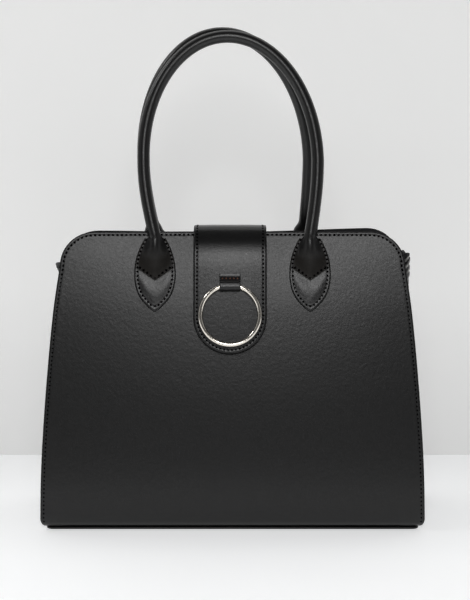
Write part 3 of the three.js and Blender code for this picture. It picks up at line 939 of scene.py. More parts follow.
def rounded_outline(half_width, half_depth, corner, steps):
    """Closed outline of a rectangle with round corners, and the directions that point out of it."""
    points, outward = [], []
    for sx, sy, start in ((1, 1, 0), (-1, 1, 90), (-1, -1, 180), (1, -1, 270)):
        for degrees in np.linspace(start, start + 90, steps):
            way = np.array([math.cos(math.radians(degrees)), math.sin(math.radians(degrees))])
            centre = np.array([sx * (half_width - corner), sy * (half_depth - corner)])
            points.append(centre + way * corner)
            outward.append(way)
    return np.array(points), np.array(outward)


# Distance in from the base's edge, with the heights of its underside and its upper side there
BASE_PROFILE = (
    (0.0, 0.8, 1.4),
    (0.06, 0.5, 1.7),
    (0.2, 0.25, 1.95),
    (0.5, 0.06, 2.14),
    (1.0, 0.0, 2.2),
    (4.2, 0.0, 2.2),
    (4.7, 0.22, 2.2),
    (5.2, 0.3, 2.2),
    (5.7, 0.22, 2.2),
    (6.2, 0.0, 2.2),
)
BASE_ROW = {"inset": 5.2, "height": 0.32}


def build_base(name):
    """Base plate with rounded edges and a stitch groove underneath."""
    outline, outward = rounded_outline(BASE["half_width"], BASE["half_depth"], BASE["corner"], 9)
    count = len(outline)
    under, upper = [], []
    for inset, low, high in BASE_PROFILE:
        flat = outline - outward * inset
        under.append(np.column_stack([flat, np.full(count, low)]))
        upper.append(np.column_stack([flat, np.full(count, high)]))
    rings = under[::-1] + upper[1:]
    faces = [tuple(range(count))]
    faces += [quad[:1] + quad[:0:-1] for quad in ring_quads(len(rings), count)]
    faces.append(tuple((len(rings) - 1) * count + k for k in reversed(range(count))))
    return plain_mesh(name, np.concatenate(rings), faces, [finish("matt_base")])


# Flap, keeper, ring and snap


def through_points(points, steps):
    """Dense run of points on a smooth curve through a few points."""
    points = np.asarray(points, float)
    last = len(points) - 1
    made = []
    for share in np.linspace(0, last, steps):
        k = min(int(share), last - 1)
        t = share - k
        p0, p1, p2, p3 = points[max(k - 1, 0)], points[k], points[k + 1], points[min(k + 2, last)]
        v0, v1 = (p2 - p0) / 2, (p3 - p1) / 2
        cube = 2 * p1 - 2 * p2 + v0 + v1
        square = -3 * p1 + 3 * p2 - 2 * v0 - v1
        made.append(cube * t**3 + square * t**2 + v0 * t + p1)
    return np.array(made)


def run_lengths(line):
    """Length along a line at each of its points."""
    return np.concatenate([[0], np.cumsum(np.linalg.norm(np.diff(line, axis=0), axis=1))])


FLAP_TAIL = [(float(face_depth(0.0, z)) + FLAP["tail_gap"], z) for z in FLAP_TAIL_HEIGHTS]
FLAP_STEPS = 2401
FLAP_LINE = through_points([*FLAP_PATH, *FLAP_TAIL], FLAP_STEPS)
FLAP_RUN = run_lengths(FLAP_LINE)
FLAP_LENGTH = float(FLAP_RUN[-1])
FLAP_CREST = float(np.interp(0.0, FLAP_LINE[:, 0], FLAP_RUN))


def flap_line_at(from_tip):
    """Points (y, z) on the flap's inner face at lengths from the tip."""
    from_tip = np.clip(from_tip, 0, FLAP_LENGTH)
    return np.stack([np.interp(from_tip, FLAP_RUN, FLAP_LINE[:, k]) for k in (0, 1)], axis=-1)


def flap_station(from_tip):
    """Points (y, z) on the flap's inner face and its outward directions, at lengths from the tip."""
    from_tip = np.clip(np.asarray(from_tip, float), 0, FLAP_LENGTH)
    along = flap_line_at(from_tip + 0.4) - flap_line_at(from_tip - 0.4)
    along = along / np.linalg.norm(along, axis=-1, keepdims=True)
    return flap_line_at(from_tip), np.stack([-along[..., 1], along[..., 0]], axis=-1)


def flap_points(flat, lift):
    """Places flat points (x, length above the tail) on the flap, lifted off its inner face."""
    at, outward = flap_station(FLAP_LENGTH - flat[:, 1])
    side_view = at + outward * np.asarray(lift)[..., None]
    return np.column_stack([FLAP["x"] + flat[:, 0], side_view])


def flap_outline():
    """Outline of the flap laid flat, from its tail up round its tip and down again, and the number of steps
    up to the side of the tip."""
    half = FLAP["half_width"]
    heights = np.concatenate([EDGE_INSETS, np.linspace(EDGE_INSETS[-1], FLAP_LENGTH - half, 62)[1:]])
    angles = np.linspace(math.pi, 0, 49)
    tip = np.stack([half * np.cos(angles), FLAP_LENGTH - half + half * np.sin(angles)], axis=1)
    side = np.stack([np.full(len(heights), half), heights], axis=1)[:-1]
    return np.concatenate([side * np.array([-1, 1]), tip, side[::-1]]), len(side) + 12


def flap_face(flat):
    """Thickness of the flap at flat points: crowned a little, and thinner where it bends over the bag."""
    crown = FLAP_CROWN["rise"] * ease((FLAP["half_width"] - np.abs(flat[:, 0])) / FLAP_CROWN["reach"])
    from_crest = np.abs(FLAP_LENGTH - flat[:, 1] - FLAP_CREST)
    return FLAP["thickness"] + crown - FLAP_BEND["thinning"] * ease(1 - from_crest / FLAP_BEND["reach"])


def build_flap(name):
    """Lined strap flap with painted edges."""
    points, inset, quads = sheet_layout(*flap_outline(), EDGE_INSETS)
    inset = np.minimum(inset, points[:, 1])
    outer = flap_points(points, flap_face(points) + edge_lift(inset))
    inner = flap_points(points, back_lift(inset))
    finishes = [finish("satin_trim"), finish("edge_paint"), finish("woven_lining")]
    return closed_sheet(name, outer, inner, quads, finishes, near_edge(quads, inset, PAINTED_EDGE))


def flap_frame(from_tip, offset):
    """Origin on the flap and the directions out of it and up along it."""
    at, outward = flap_station(from_tip)
    origin = np.array([FLAP["x"], *(at + outward * offset)])
    return origin, np.array([0, *outward]), np.array([0, outward[1], -outward[0]])


KEEPER_ROLL = KEEPER["bore"] + KEEPER["wall"]
KEEPER_AXIS_OUT = GAP + KEEPER_ROLL


def keeper_line():
    """Outer face of the keeper's strip in side view: down the tab's front, round the wire and up its back."""
    front = GAP + KEEPER["tab_thickness"]
    tab = [(front, KEEPER["tab_top"]), (front + 0.1, 11.0), (front + 0.35, 9.6), (front + 0.9, 8.2)]
    tab += [(front + 1.7, 6.9), (front + 2.7, 5.7)]
    shoulder = [(6.4, 4.9), (7.7, 4.1), (8.4, 3.1), (8.75, 1.8), (8.98, 0.5)]
    roll = [
        (KEEPER_AXIS_OUT + KEEPER_ROLL * math.cos(a), KEEPER_ROLL * math.sin(a))
        for a in np.radians(np.linspace(-12, -180, 14))
    ]
    back = [(GAP, 3.0), (GAP, 6.0), (GAP, 9.0), (GAP, KEEPER["tab_top"])]
    return through_points([*tab, *shoulder, *roll, *back], 121)


KEEPER_EDGE = (0.0, 0.12, 0.35, 0.7, 1.4, 3.0, 6.0)


def keeper_place(across, line, lift):
    """Places points of the keeper's strip in the bag's frame, lifted off the strip's outer face."""
    along = np.gradient(line, axis=0)
    along /= np.linalg.norm(along, axis=1, keepdims=True)
    outward = np.stack([-along[:, 1], along[:, 0]], axis=1)
    moved = line + outward * np.asarray(lift)[..., None]
    origin, out, up = flap_frame(KEEPER["from_tip"], FLAP["thickness"])
    return origin + moved[:, :1] * out + moved[:, 1:] * up + np.outer(across, (1, 0, 0))


def build_keeper(name):
    """Leather strip that is rolled round the ring's wire and sewn down as a tab."""
    line = keeper_line()
    half = KEEPER["width"] / 2
    tab_share = ease((line[:, 1] - 4.5) / 4.0)
    outer, inner = [], []
    for sign in (-1, 1):
        for inset in KEEPER_EDGE if sign < 0 else KEEPER_EDGE[::-1]:
            across = sign * (half + 0.4 * tab_share - inset)
            round_off = np.interp(inset, (0, 0.12, 0.35, 0.7), (-0.38, -0.16, -0.04, 0))
            outer.append(keeper_place(across, line, np.full(len(line), round_off)))
            inner.append(keeper_place(across, line, np.full(len(line), -KEEPER_STRIP - round_off)))
    faces = grid_layout(len(outer), len(line))
    finishes = [finish("satin_trim"), finish("edge_paint"), finish("satin_trim")]
    return closed_sheet(name, np.concatenate(outer), np.concatenate(inner), faces, finishes)


def ring_frame():
    """Middle of the ring and the direction down its plane, from its hinge and how it leans on the flap."""
    rise = RING["radius"] - math.sqrt(RING["radius"] ** 2 - (KEEPER["width"] / 2) ** 2)
    drop = RING["radius"] - rise / 2
    reach = drop + RING["radius"]
    pivot = flap_frame(KEEPER["from_tip"], FLAP["thickness"] + KEEPER_AXIS_OUT)[0]
    rest = flap_frame(KEEPER["from_tip"] - reach, FLAP["thickness"] + GAP + RING["wire"])[0]
    lean = math.asin((pivot[1] - rest[1]) / reach)
    down = np.array([0, -math.sin(lean), -math.cos(lean)])
    return pivot + drop * down, down


def build_ring(name):
    """Round ring of plain wire."""
    centre, down = ring_frame()
    steps, sides = RING["steps"], RING["sides"]
    out = np.array([0, down[2], -down[1]])
    points, faces = [], []
    for k in range(steps):
        a = 2 * math.pi * k / steps
        way = np.array([1.0, 0, 0]) * math.cos(a) - down * math.sin(a)
        for j in range(sides):
            b = 2 * math.pi * j / sides
            reach = RING["radius"] + RING["wire"] * math.cos(b)
            points.append(centre + way * reach + out * RING["wire"] * math.sin(b))
            nk, nj = (k + 1) % steps, (j + 1) % sides
            faces.append((k * sides + j, nk * sides + j, nk * sides + nj, k * sides + nj))
    return plain_mesh(name, points, faces, [finish("polished_ring")])


# Radius and height over the flap's back, turned round the snap's axis
SNAP_PROFILE = (
    (0.0, 0.3),
    (6.2, 0.3),
    (6.75, 0.42),
    (7.0, 0.8),
    (7.0, 1.6),
    (6.7, 2.2),
    (6.1, 2.45),
    (4.4, 2.5),
    (4.0, 2.2),
    (2.6, 2.2),
    (2.3, 2.5),
    (0.0, 2.5),
)
SNAP_SIDES = 40


def build_snap(name):
    """Flat snap turned from its profile, on the flap's back."""
    origin, out, up = flap_frame(SNAP_FROM_TIP, 0)
    across = np.array([1.0, 0.0, 0.0])
    sides = SNAP_SIDES
    points = []
    for radius, height in SNAP_PROFILE[1:-1]:
        for k in range(sides):
            a = 2 * math.pi * k / sides
            way = across * math.cos(a) + up * math.sin(a)
            points.append(origin - out * height + way * radius)
    rings = len(SNAP_PROFILE) - 2
    faces = ring_quads(rings, sides)
    ends = ((0, SNAP_PROFILE[0][1], True), ((rings - 1) * sides, SNAP_PROFILE[-1][1], False))
    for start, height, flip in ends:
        middle = len(points)
        points.append(origin - out * height)
        for k in range(sides):
            a, b = start + k, start + (k + 1) % sides
            faces.append((b, a, middle) if flip else (a, b, middle))
    return plain_mesh(name, points, faces, [finish("dull_snap")])


# Tabs and handles


def leaf_outline():
    """Closed outline of a tab about its own middle line, from its top left down to the tip and up again."""
    heights = np.concatenate([np.linspace(LEAF_TOP, 224, 30), np.linspace(223, LEAF_FOOT, 14)])
    half = np.maximum(smooth(LEAF_ROWS, heights, 1), 0.4)
    left = np.stack([-half, heights], axis=1)
    right = np.stack([half, heights], axis=1)[::-1]
    tip = np.array([[0.0, LEAF_FOOT - 0.5]])
    top = np.linspace(-half[0], half[0], 13)[1:-1][::-1]
    return np.concatenate([left, tip, right, np.stack([top, np.full(len(top), LEAF_TOP)], axis=1)])


def outline_distance(points, outline):
    """Distance from each point to a closed outline."""
    start, end = outline, np.roll(outline, -1, axis=0)
    along = end - start
    length = np.maximum((along**2).sum(axis=1), 1e-9)
    offset = points[:, None, :] - start[None]
    share = np.clip((offset * along[None]).sum(axis=2) / length[None], 0, 1)
    return np.sqrt(((offset - share[..., None] * along[None]) ** 2).sum(axis=2)).min(axis=1)


def under_vee(flat):
    """Distance under the V seam, square to it, on a tab laid flat."""
    line = VEE["point"] - 1.5 + VEE_SLOPE * np.sqrt(flat[:, 0] ** 2 + 16.0)
    return (line - flat[:, 1]) / math.sqrt(1 + VEE_SLOPE * VEE_SLOPE)


def tab_padding(flat, inset):
    """Swell of a tab's leaf tip, between the V seam and the edge stitches."""
    below = under_vee(flat)
    return TAB_PADDING * ease(below / 9) * (1 - ease((below - 9) / 15)) * ease((inset - STITCH_IN) / 6)


def tab_points(flat, side, end, lift):
    """Places flat points (from the tab's middle line, height) on a panel, lifted off the tab's seat."""
    moved = flat + np.array([end * TAB["x"], 0.0])
    return panel_points(moved, side, GAP + np.asarray(lift))


TAB_RINGS = (
    *(0.0, 0.25, 0.6, 1.1, 1.6, 2.1, 2.5, 2.8, 3.1, 3.4),
    *(3.8, 4.4, 5.2, 6.4, 8.0, 9.8, 11.8, 14.0, 16.2, 18.4),
)
TAB_EDGE_SHARE = 0.8
TAB_PAINTED_EDGE = 0.75


def build_tab(side, end, name):
    """Leaf-shaped tab, padded under the V seam and dull over it."""
    outline = leaf_outline()
    count = len(outline)
    centre = np.array(LEAF_CENTRE)
    rings = [centre + (outline - centre) * (1 - inset / LEAF_REACH) for inset in TAB_RINGS]
    points = np.concatenate([*rings, centre[None]])
    inset = outline_distance(points, outline)
    faces = ring_quads(len(TAB_RINGS), count)
    last = (len(TAB_RINGS) - 1) * count
    faces += [(last + k, last + (k + 1) % count, len(points) - 1) for k in range(count)]
    face_lift = TAB["thickness"] + edge_lift(inset, TAB_EDGE_SHARE) + tab_padding(points, inset)
    outer = tab_points(points, side, end, face_lift)
    inner = tab_points(points, side, end, back_lift(inset, 0.5))
    rim = [int(max(inset[k] for k in face) < TAB_PAINTED_EDGE) for face in faces]
    finishes = [finish("padded_trim"), finish("edge_paint"), finish("satin_trim")]
    mesh = closed_sheet(name, outer, inner, faces, finishes, rim)
    above = 1 - ease((under_vee(points) + 1.5) / 3)
    set_share(mesh, "dull", np.concatenate([above, np.zeros(len(inner))]))
    return mesh


def foot_ring(handle, end, height):
    """Section of a flared foot: it lies on the tab, its lower edge drops to a V, and it turns upright
    towards the tube."""
    rows = FOOT_ROWS[handle["side"]]
    half, thickness, vee, side, power = (float(smooth(rows, height, k)) for k in range(1, 6))
    angles = 2 * math.pi * np.arange(HANDLE_SIDES) / HANDLE_SIDES
    across, front = np.cos(angles), np.maximum(np.sin(angles), 0)
    flat = np.stack([-end * half * across, height - vee * (1 - np.abs(across))], axis=1)
    flat[:, 0] += handle["lean"] * step_up(height, FOOT_LEANS)
    level = side + (thickness - side) * front ** (2 * power) + side * np.minimum(np.sin(angles), 0)
    seat = TAB["thickness"] + FOOT_SEAT
    points = tab_points(flat, handle["side"], end, seat + level)
    upright = tab_points(flat, handle["side"], end, seat)[:, 2]
    points[:, 2] += (upright - points[:, 2]) * step_up(height, FOOT_STANDS)
    return points


def handle_depth(handle, z):
    """Depth of a handle's middle line, from just outside the tab to the bag's middle at the apex."""
    foot = float(face_depth(TAB["x"], HANDLE["foot_top"])) + 2 * GAP + TAB["thickness"] + HANDLE["radius"]
    apex = HANDLE["radius"] + HANDLE["apex_gap"]
    down = np.maximum(0, (handle["apex"] - z) / (handle["apex"] - HANDLE["foot_top"]))
    return apex + (foot - apex) * down ** HANDLE["lean_power"]


def handle_line(handle):
    """Middle line of a handle's tube from the top of its left foot to the top of its right foot."""
    up = np.arange(28) / 28
    legs = {}
    for end in (LEFT, RIGHT):
        foot = end * TAB["x"] + handle["lean"]
        bow = handle["middle"] + end * handle["half_width"]
        z = HANDLE["foot_top"] + up * (HANDLE["bow"] - HANDLE["foot_top"])
        legs[end] = np.stack([foot + (bow - foot) * np.sin(up * math.pi / 2), z], axis=1)
    angles = np.linspace(0, math.pi, 97)
    x = handle["middle"] - handle["half_width"] * np.cos(angles) + handle["sway"] * np.sin(angles)
    arch = np.stack([x, HANDLE["bow"] + (handle["apex"] - HANDLE["bow"]) * np.sin(angles)], axis=1)
    outline = np.concatenate([legs[LEFT], arch, legs[RIGHT][::-1]])
    depth = handle["side"] * handle_depth(handle, outline[:, 1])
    return np.column_stack([outline[:, 0], depth, outline[:, 1]])


def tube_frames(handle, line):
    """Directions across the tube and out of the bag at each point of a handle's middle line."""
    along = np.gradient(line, axis=0)
    along /= np.linalg.norm(along, axis=1, keepdims=True)
    outward = np.array([0.0, handle["side"], 0.0]) - along * (along[:, 1:2] * handle["side"])
    outward /= np.linalg.norm(outward, axis=1, keepdims=True)
    return np.cross(along, outward) * -handle["side"], outward


def build_handle(handle, name):
    """Rolled handle: two flared feet, and a tube with a seam groove between them."""
    line = handle_line(handle)
    across, outward = tube_frames(handle, line)
    angles = 2 * math.pi * np.arange(HANDLE_SIDES) / HANDLE_SIDES
    radius = np.full(HANDLE_SIDES, HANDLE["radius"])
    radius[3 * HANDLE_SIDES // 4] -= HANDLE_GROOVE
    hem = VEE["corner"] + np.array([0.0, 0.35, 0.9, 1.8])
    feet = np.concatenate([hem, np.linspace(VEE["corner"] + 3, HANDLE["foot_top"] - 2, 19)])
    rings = [foot_ring(handle, LEFT, height) for height in feet]
    flare = FOOT_FLARE[handle["side"]]
    wide = FOOT_ROWS[handle["side"]][-1][1] / HANDLE["radius"]
    for k in range(len(line)):
        above = (line[k, 2] - HANDLE["foot_top"]) / max(flare, 0.01)
        reach = across[k] * np.cos(angles)[:, None]
        spread = (wide - 1) * (1 - float(ease(above))) * np.where(reach[:, :1] < 0, 1.0, FLARE_RIGHT)
        sweep = reach * (1 + spread) + outward[k] * np.sin(angles)[:, None]
        rings.append(line[k] + sweep * radius[:, None])
    rings += [foot_ring(handle, RIGHT, height) for height in feet[::-1]]
    faces = ring_quads(len(rings), HANDLE_SIDES)
    half = HANDLE_SIDES // 2
    for start, flip in ((0, True), ((len(rings) - 1) * HANDLE_SIDES, False)):
        ends = [(0, HANDLE_SIDES - 1, 1), (half - 1, half + 1, half)]
        ends += [(k, HANDLE_SIDES - k, HANDLE_SIDES - k - 1, k + 1) for k in range(1, half - 1)]
        faces += [tuple(start + i for i in (face if flip else face[::-1])) for face in ends]
    points = np.concatenate(rings)
    mesh = plain_mesh(name, points, faces, [finish("rolled_leather")])
    set_share(mesh, "dull", 1 - step_up(points[:, 2], FOOT_SHINES))
    return mesh


# Stitching


def stitch_tree():
    """Node tree that sets stitches along lines: each lies along its line and faces the way that the line's
    outward attribute points."""
    found = bpy.data.node_groups.get("Stitch Row")
    if found:
        return found
    tree = bpy.data.node_groups.new("Stitch Row", "GeometryNodeTree")
    sockets = (
        ("Geometry", "INPUT", "NodeSocketGeometry"),
        ("Pitch", "INPUT", "NodeSocketFloat"),
        ("Size", "INPUT", "NodeSocketVector"),
        ("Seed", "INPUT", "NodeSocketInt"),
        ("Thread", "INPUT", "NodeSocketMaterial"),
        ("Geometry", "OUTPUT", "NodeSocketGeometry"),
    )
    for name, way, kind in sockets:
        tree.interface.new_socket(name, in_out=way, socket_type=kind)
    nodes, links = tree.nodes, tree.links
    given, made = nodes.new("NodeGroupInput"), nodes.new("NodeGroupOutput")
    curve = nodes.new("GeometryNodeMeshToCurve")
    spaced = nodes.new("GeometryNodeResampleCurve")
    spaced.mode = "LENGTH"
    bead = nodes.new("GeometryNodeMeshUVSphere")
    bead.inputs["Segments"].default_value = 8
    bead.inputs["Rings"].default_value = 5
    bead.inputs["Radius"].default_value = 0.5
    shaped = nodes.new("GeometryNodeTransform")
    outward = nodes.new("GeometryNodeInputNamedAttribute")
    outward.data_type = "FLOAT_VECTOR"
    outward.inputs["Name"].default_value = "outward"
    tangent = nodes.new("GeometryNodeInputTangent")
    turn = nodes.new("FunctionNodeAxesToRotation")
    turn.primary_axis, turn.secondary_axis = "Z", "X"
    uneven = nodes.new("FunctionNodeRandomValue")
    uneven.data_type = "FLOAT_VECTOR"
    uneven.inputs["Min"].default_value = (0.92, 0.92, 0.92)
    uneven.inputs["Max"].default_value = (1.08, 1.08, 1.08)
    placed = nodes.new("GeometryNodeInstanceOnPoints")
    real = nodes.new("GeometryNodeRealizeInstances")
    soft = nodes.new("GeometryNodeSetShadeSmooth")
    wound = nodes.new("GeometryNodeSetMaterial")
    pairs = (
        (given.outputs["Geometry"], curve.inputs["Mesh"]),
        (curve.outputs["Curve"], spaced.inputs["Curve"]),
        (given.outputs["Pitch"], spaced.inputs["Length"]),
        (bead.outputs["Mesh"], shaped.inputs["Geometry"]),
        (given.outputs["Size"], shaped.inputs["Scale"]),
        (outward.outputs["Attribute"], turn.inputs["Primary Axis"]),
        (tangent.outputs["Tangent"], turn.inputs["Secondary Axis"]),
        (given.outputs["Seed"], uneven.inputs["Seed"]),
        (spaced.outputs["Curve"], placed.inputs["Points"]),
        (shaped.outputs["Geometry"], placed.inputs["Instance"]),
        (turn.outputs["Rotation"], placed.inputs["Rotation"]),
        (uneven.outputs["Value"], placed.inputs["Scale"]),
        (placed.outputs["Instances"], real.inputs["Geometry"]),
        (real.outputs["Geometry"], soft.inputs["Geometry"]),
        (soft.outputs["Geometry"], wound.inputs["Geometry"]),
        (given.outputs["Thread"], wound.inputs["Material"]),
        (wound.outputs["Geometry"], made.inputs["Geometry"]),
    )
    for source, target in pairs:
        links.new(source, target)
    return tree


def even_line(points, spacing=1.0):
    """Points at even lengths along a line, about a spacing apart."""
    lengths = run_lengths(points)
    steps = max(2, int(round(lengths[-1] / spacing)) + 1)
    at = np.linspace(0, lengths[-1], steps)
    return np.stack([np.interp(at, lengths, points[:, k]) for k in range(points.shape[1])], axis=1)


def sewn_row(flat, place, lift=STITCH_LIFT):
    """A row to sew: its line in the bag's frame and the way out of the leather at each point."""
    flat = even_line(flat)
    lifts = np.full(len(flat), float(lift))
    line = place(flat, lifts)
    return line, place(flat, lifts + 1) - line


def sew(name, rows, thread, size, pitch):
    """Sews rows into one mesh of stitches."""
    sewing = bpy.context.scene.tote_stitching
    points, outward, edges = [], [], []
    for line, ways in rows:
        start = sum(len(p) for p in points)
        points.append(line * MM)
        outward.append(ways)
        edges += [(start + k, start + k + 1) for k in range(len(line) - 1)]
    mesh = bpy.data.meshes.new(name)
    mesh.from_pydata(np.concatenate(points).tolist(), edges, [])
    attribute = mesh.attributes.new("outward", "FLOAT_VECTOR", "POINT")
    attribute.data.foreach_set("vector", np.concatenate(outward).astype(np.float32).ravel())
    piece = link_piece(name, mesh)
    tree = stitch_tree()
    modifier = piece.modifiers.new("Stitch Row", "NODES")
    modifier.node_group = tree
    values = {"Pitch": pitch, "Size": size, "Seed": sewing.seed, "Thread": finish(thread)}
    for item in tree.interface.items_tree:
        if item.item_type == "SOCKET" and item.in_out == "INPUT" and item.name in values:
            modifier[item.identifier] = values[item.name]
    depsgraph = bpy.context.evaluated_depsgraph_get()
    stitched = bpy.data.meshes.new_from_object(piece.evaluated_get(depsgraph))
    piece.modifiers.remove(modifier)
    piece.data = stitched
    stitched.name = name
    bpy.data.meshes.remove(mesh)
    if not stitched.polygons:
        raise RuntimeError(f"{name} came out without stitches")
    return piece


def panel_rows():
    """Rows over the tops and corners of the two panels, and rows down their sides."""
    tops, sides = [], []
    for side in (FRONT, BACK):
        outline = panel_outline(side)[0]
        seam = outline + inward_normals(outline, True) * STITCH_IN
        place = lambda flat, lift, side=side: panel_points(flat, side, lift)
        upper = seam[:, 1] > CORNER_START - 10
        lower = (seam[:, 1] < CORNER_START - 10) & (seam[:, 1] > TURN_CENTRE - 4)
        tops.append(sewn_row(seam[upper], place))
        sides += [sewn_row(seam[lower & (seam[:, 0] * end > 0)], place) for end in (LEFT, RIGHT)]
    return tops, sides


def flap_rows():
    """Rows along the flap's sides and round its tip, and across its tail."""
    outline = flap_outline()[0]
    seam = outline + inward_normals(outline, True) * STITCH_IN
    seam = seam[seam[:, 1] >= STITCH_IN]
    tail = np.array([[-FLAP["half_width"] + 8, STITCH_IN], [FLAP["half_width"] - 8, STITCH_IN]])
    place = lambda flat, lift: flap_points(flat, flap_face(flat) + lift)
    return [sewn_row(line, place) for line in (seam, tail)]


# Height on a tab, and how far in from its edge the stitches lie there
TAB_STITCH_IN = ((248.0, 3.2), (258.0, 2.2))


def on_each_tab(line, lift):
    """Rows along one flat line on each of the four tabs."""
    rows = []
    for side in (FRONT, BACK):
        for end in (LEFT, RIGHT):
            place = lambda flat, lift, side=side, end=end: tab_points(flat, side, end, lift)
            rows.append(sewn_row(line, place, lift))
    return rows


def tab_rows():
    """Rows round the edges of the four tabs."""
    heights = np.linspace(LEAF_TOP - 1, 213.8, 60)
    half = smooth(LEAF_ROWS, heights, 1)
    left = np.stack([-half, heights], axis=1)
    normals = inward_normals(left, False) * -1
    seam = left + normals * np.interp(heights, *zip(*TAB_STITCH_IN))[:, None]
    seam = seam[seam[:, 0] < -0.6]
    tip = np.array([[0.0, seam[-1, 1] - 0.4]])
    line = np.concatenate([seam, tip, seam[::-1] * np.array([-1, 1])])
    return on_each_tab(line, TAB["thickness"] + STITCH_LIFT * TAB_EDGE_SHARE)


def vee_rows():
    """Rows along the V seams at the feet of the handles."""
    reach = np.linspace(-VEE_ROW["reach"], VEE_ROW["reach"], 41)
    line = np.stack([reach, VEE["point"] + VEE_ROW["over"] + VEE_SLOPE * np.abs(reach)], axis=1)
    return on_each_tab(line, TAB["thickness"] + VEE_ROW["lift"])


def gusset_rows():
    """Rows along the hems of the two gussets."""
    rows = []
    for side in (LEFT, RIGHT):
        line = web_line(CORNER_START - STITCH_IN, side)
        inner, outer = plan_offset(line, 0.9), plan_offset(line, 1.9)
        ways = (outer - inner) * np.array([side, 1, 1])
        hem = inner * np.array([side, 1, 1])
        steps = slice(SEAM_STEPS + 2, -SEAM_STEPS - 2)
        rows.append((hem[steps], ways[steps]))
    return rows


def base_rows():
    """Row round the underside of the base."""
    outline, outward = rounded_outline(BASE["half_width"], BASE["half_depth"], BASE["corner"], 9)
    seam = outline - outward * BASE_ROW["inset"]
    line = np.concatenate([seam, seam[:1]])
    line = even_line(np.column_stack([line, np.full(len(line), BASE_ROW["height"])]))
    return [(line, np.tile((0.0, 0.0, -1.0), (len(line), 1)))]


def keeper_rows():
    """Short row on the keeper's sewn tab."""
    origin, out, up = flap_frame(KEEPER["from_tip"], FLAP["thickness"])
    reach = np.linspace(-KEEPER_ROW["reach"], KEEPER_ROW["reach"], 15)
    line = origin + out * KEEPER_ROW["out"] + up * KEEPER_ROW["up"] + np.outer(reach, (1, 0, 0))
    return [(line, np.tile(out + 0.6 * up, (len(line), 1)))]


# Stage


def plane_piece(name, corners):
    mesh = bpy.data.meshes.new(name)
    mesh.from_pydata(corners, [], [(0, 1, 2, 3)])
    return link_piece(name, mesh)


def stage_material(name, colour, axis, glow):
    """Pale matt surface with a glow that changes along an axis, and that is clear from behind."""
    sheet = NodeSheet(name)
    place = sheet.coordinates()
    mottle = sheet.noise(place, 9.0, 3.0)
    axes = sheet.node("ShaderNodeSeparateXYZ")
    sheet.join(place, axes.inputs["Vector"])
    light = sheet.ramp(axes.outputs[axis], *glow)
    tone = sheet.shades(mottle, *around(colour, 0.985, 1.015))
    sheet.drive(Emission_Strength=light, Base_Color=tone, Emission_Color=tone)
    sheet.set(Roughness=0.8, Specular_IOR_Level=0.1)
    side = sheet.node("ShaderNodeNewGeometry").outputs["Backfacing"]
    clear = sheet.node("ShaderNodeBsdfTransparent").outputs["BSDF"]
    mix = sheet.node("ShaderNodeMixShader")
    sheet.join(side, mix.inputs[0])
    sheet.join(sheet.shader.outputs["BSDF"], mix.inputs[1])
    sheet.join(clear, mix.inputs[2])
    sheet.join(mix.outputs["Shader"], sheet.tree.nodes["Material Output"].inputs["Surface"])
    return sheet.material


def add_light(name, place, target, size, power, shape="RECTANGLE"):
    """Flat light at a place, turned towards a target."""
    light = bpy.data.lights.new(name, "AREA")
    light.shape = shape
    light.size, light.size_y = size
    light.energy = power
    lamp = bpy.data.objects.new(name, light)
    bpy.context.scene.collection.objects.link(lamp)
    lamp.location = place
    way = Vector([t - p for t, p in zip(target, place)])
    lamp.rotation_euler = way.to_track_quat("-Z", "Y").to_euler()
    lamp.visible_camera = False


def set_world(scene):
    """Pale surroundings for the picture, and a dim room for the light."""
    world = bpy.data.worlds.new("studio")
    scene.world = world
    world.use_nodes = True
    tree = world.node_tree
    background = tree.nodes["Background"]
    background.inputs["Color"].default_value = (1, 1, 1, 1)
    path = tree.nodes.new("ShaderNodeLightPath")
    strength = tree.nodes.new("ShaderNodeMapRange")
    strength.inputs["To Min"].default_value = ROOM_LIGHT
    strength.inputs["To Max"].default_value = ROOM_SEEN
    tree.links.new(path.outputs["Is Camera Ray"], strength.inputs["Value"])
    tree.links.new(strength.outputs["Result"], background.inputs["Strength"])


def set_camera(scene):
    """Upright camera in front of the bag, that looks a little down on it."""
    camera = bpy.data.objects.new("camera", bpy.data.cameras.new("camera"))
    scene.collection.objects.link(camera)
    camera.location = CAMERA["place"]
    camera.rotation_euler = (math.radians(CAMERA["tilt"]), 0, 0)
    camera.data.sensor_fit = "VERTICAL"
    camera.data.sensor_height = CAMERA["sensor"]
    camera.data.lens = CAMERA["sensor"] * CAMERA["focal_share"]
    scene.camera = camera


# Operators


def dress(mesh, body, node):
    """Puts a finished mesh on a body, as a piece of the same name, in place of its CAD node."""
    piece = link_piece(mesh.name, mesh)
    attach(piece, body)
    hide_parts(node)
    return piece


class TOTE_OT_panels(bpy.types.Operator):
    """Build the front and back panels with their turned edges"""

    bl_idname = "tote.panels"
    bl_label = "Panels"

    def execute(self, context):
        for side, node in ((FRONT, "front_panel"), (BACK, "back_panel")):
            dress(build_panel(side, f"{node}_leather"), "bag", node)
        return {"FINISHED"}


class TOTE_OT_gussets(bpy.types.Operator):
    """Build the two folding gussets with hemmed tops"""

    bl_idname = "tote.gussets"
    bl_label = "Gussets"

    def execute(self, context):
        for side, node in ((LEFT, "gusset_left"), (RIGHT, "gusset_right")):
            dress(build_gusset(side, f"{node}_leather"), "bag", node)
        return {"FINISHED"}


class TOTE_OT_base(bpy.types.Operator):
    """Build the base plate"""

    bl_idname = "tote.base"
    bl_label = "Base"

    def execute(self, context):
        dress(build_base("base_leather_plate"), "bag", "base_panel")
        return {"FINISHED"}


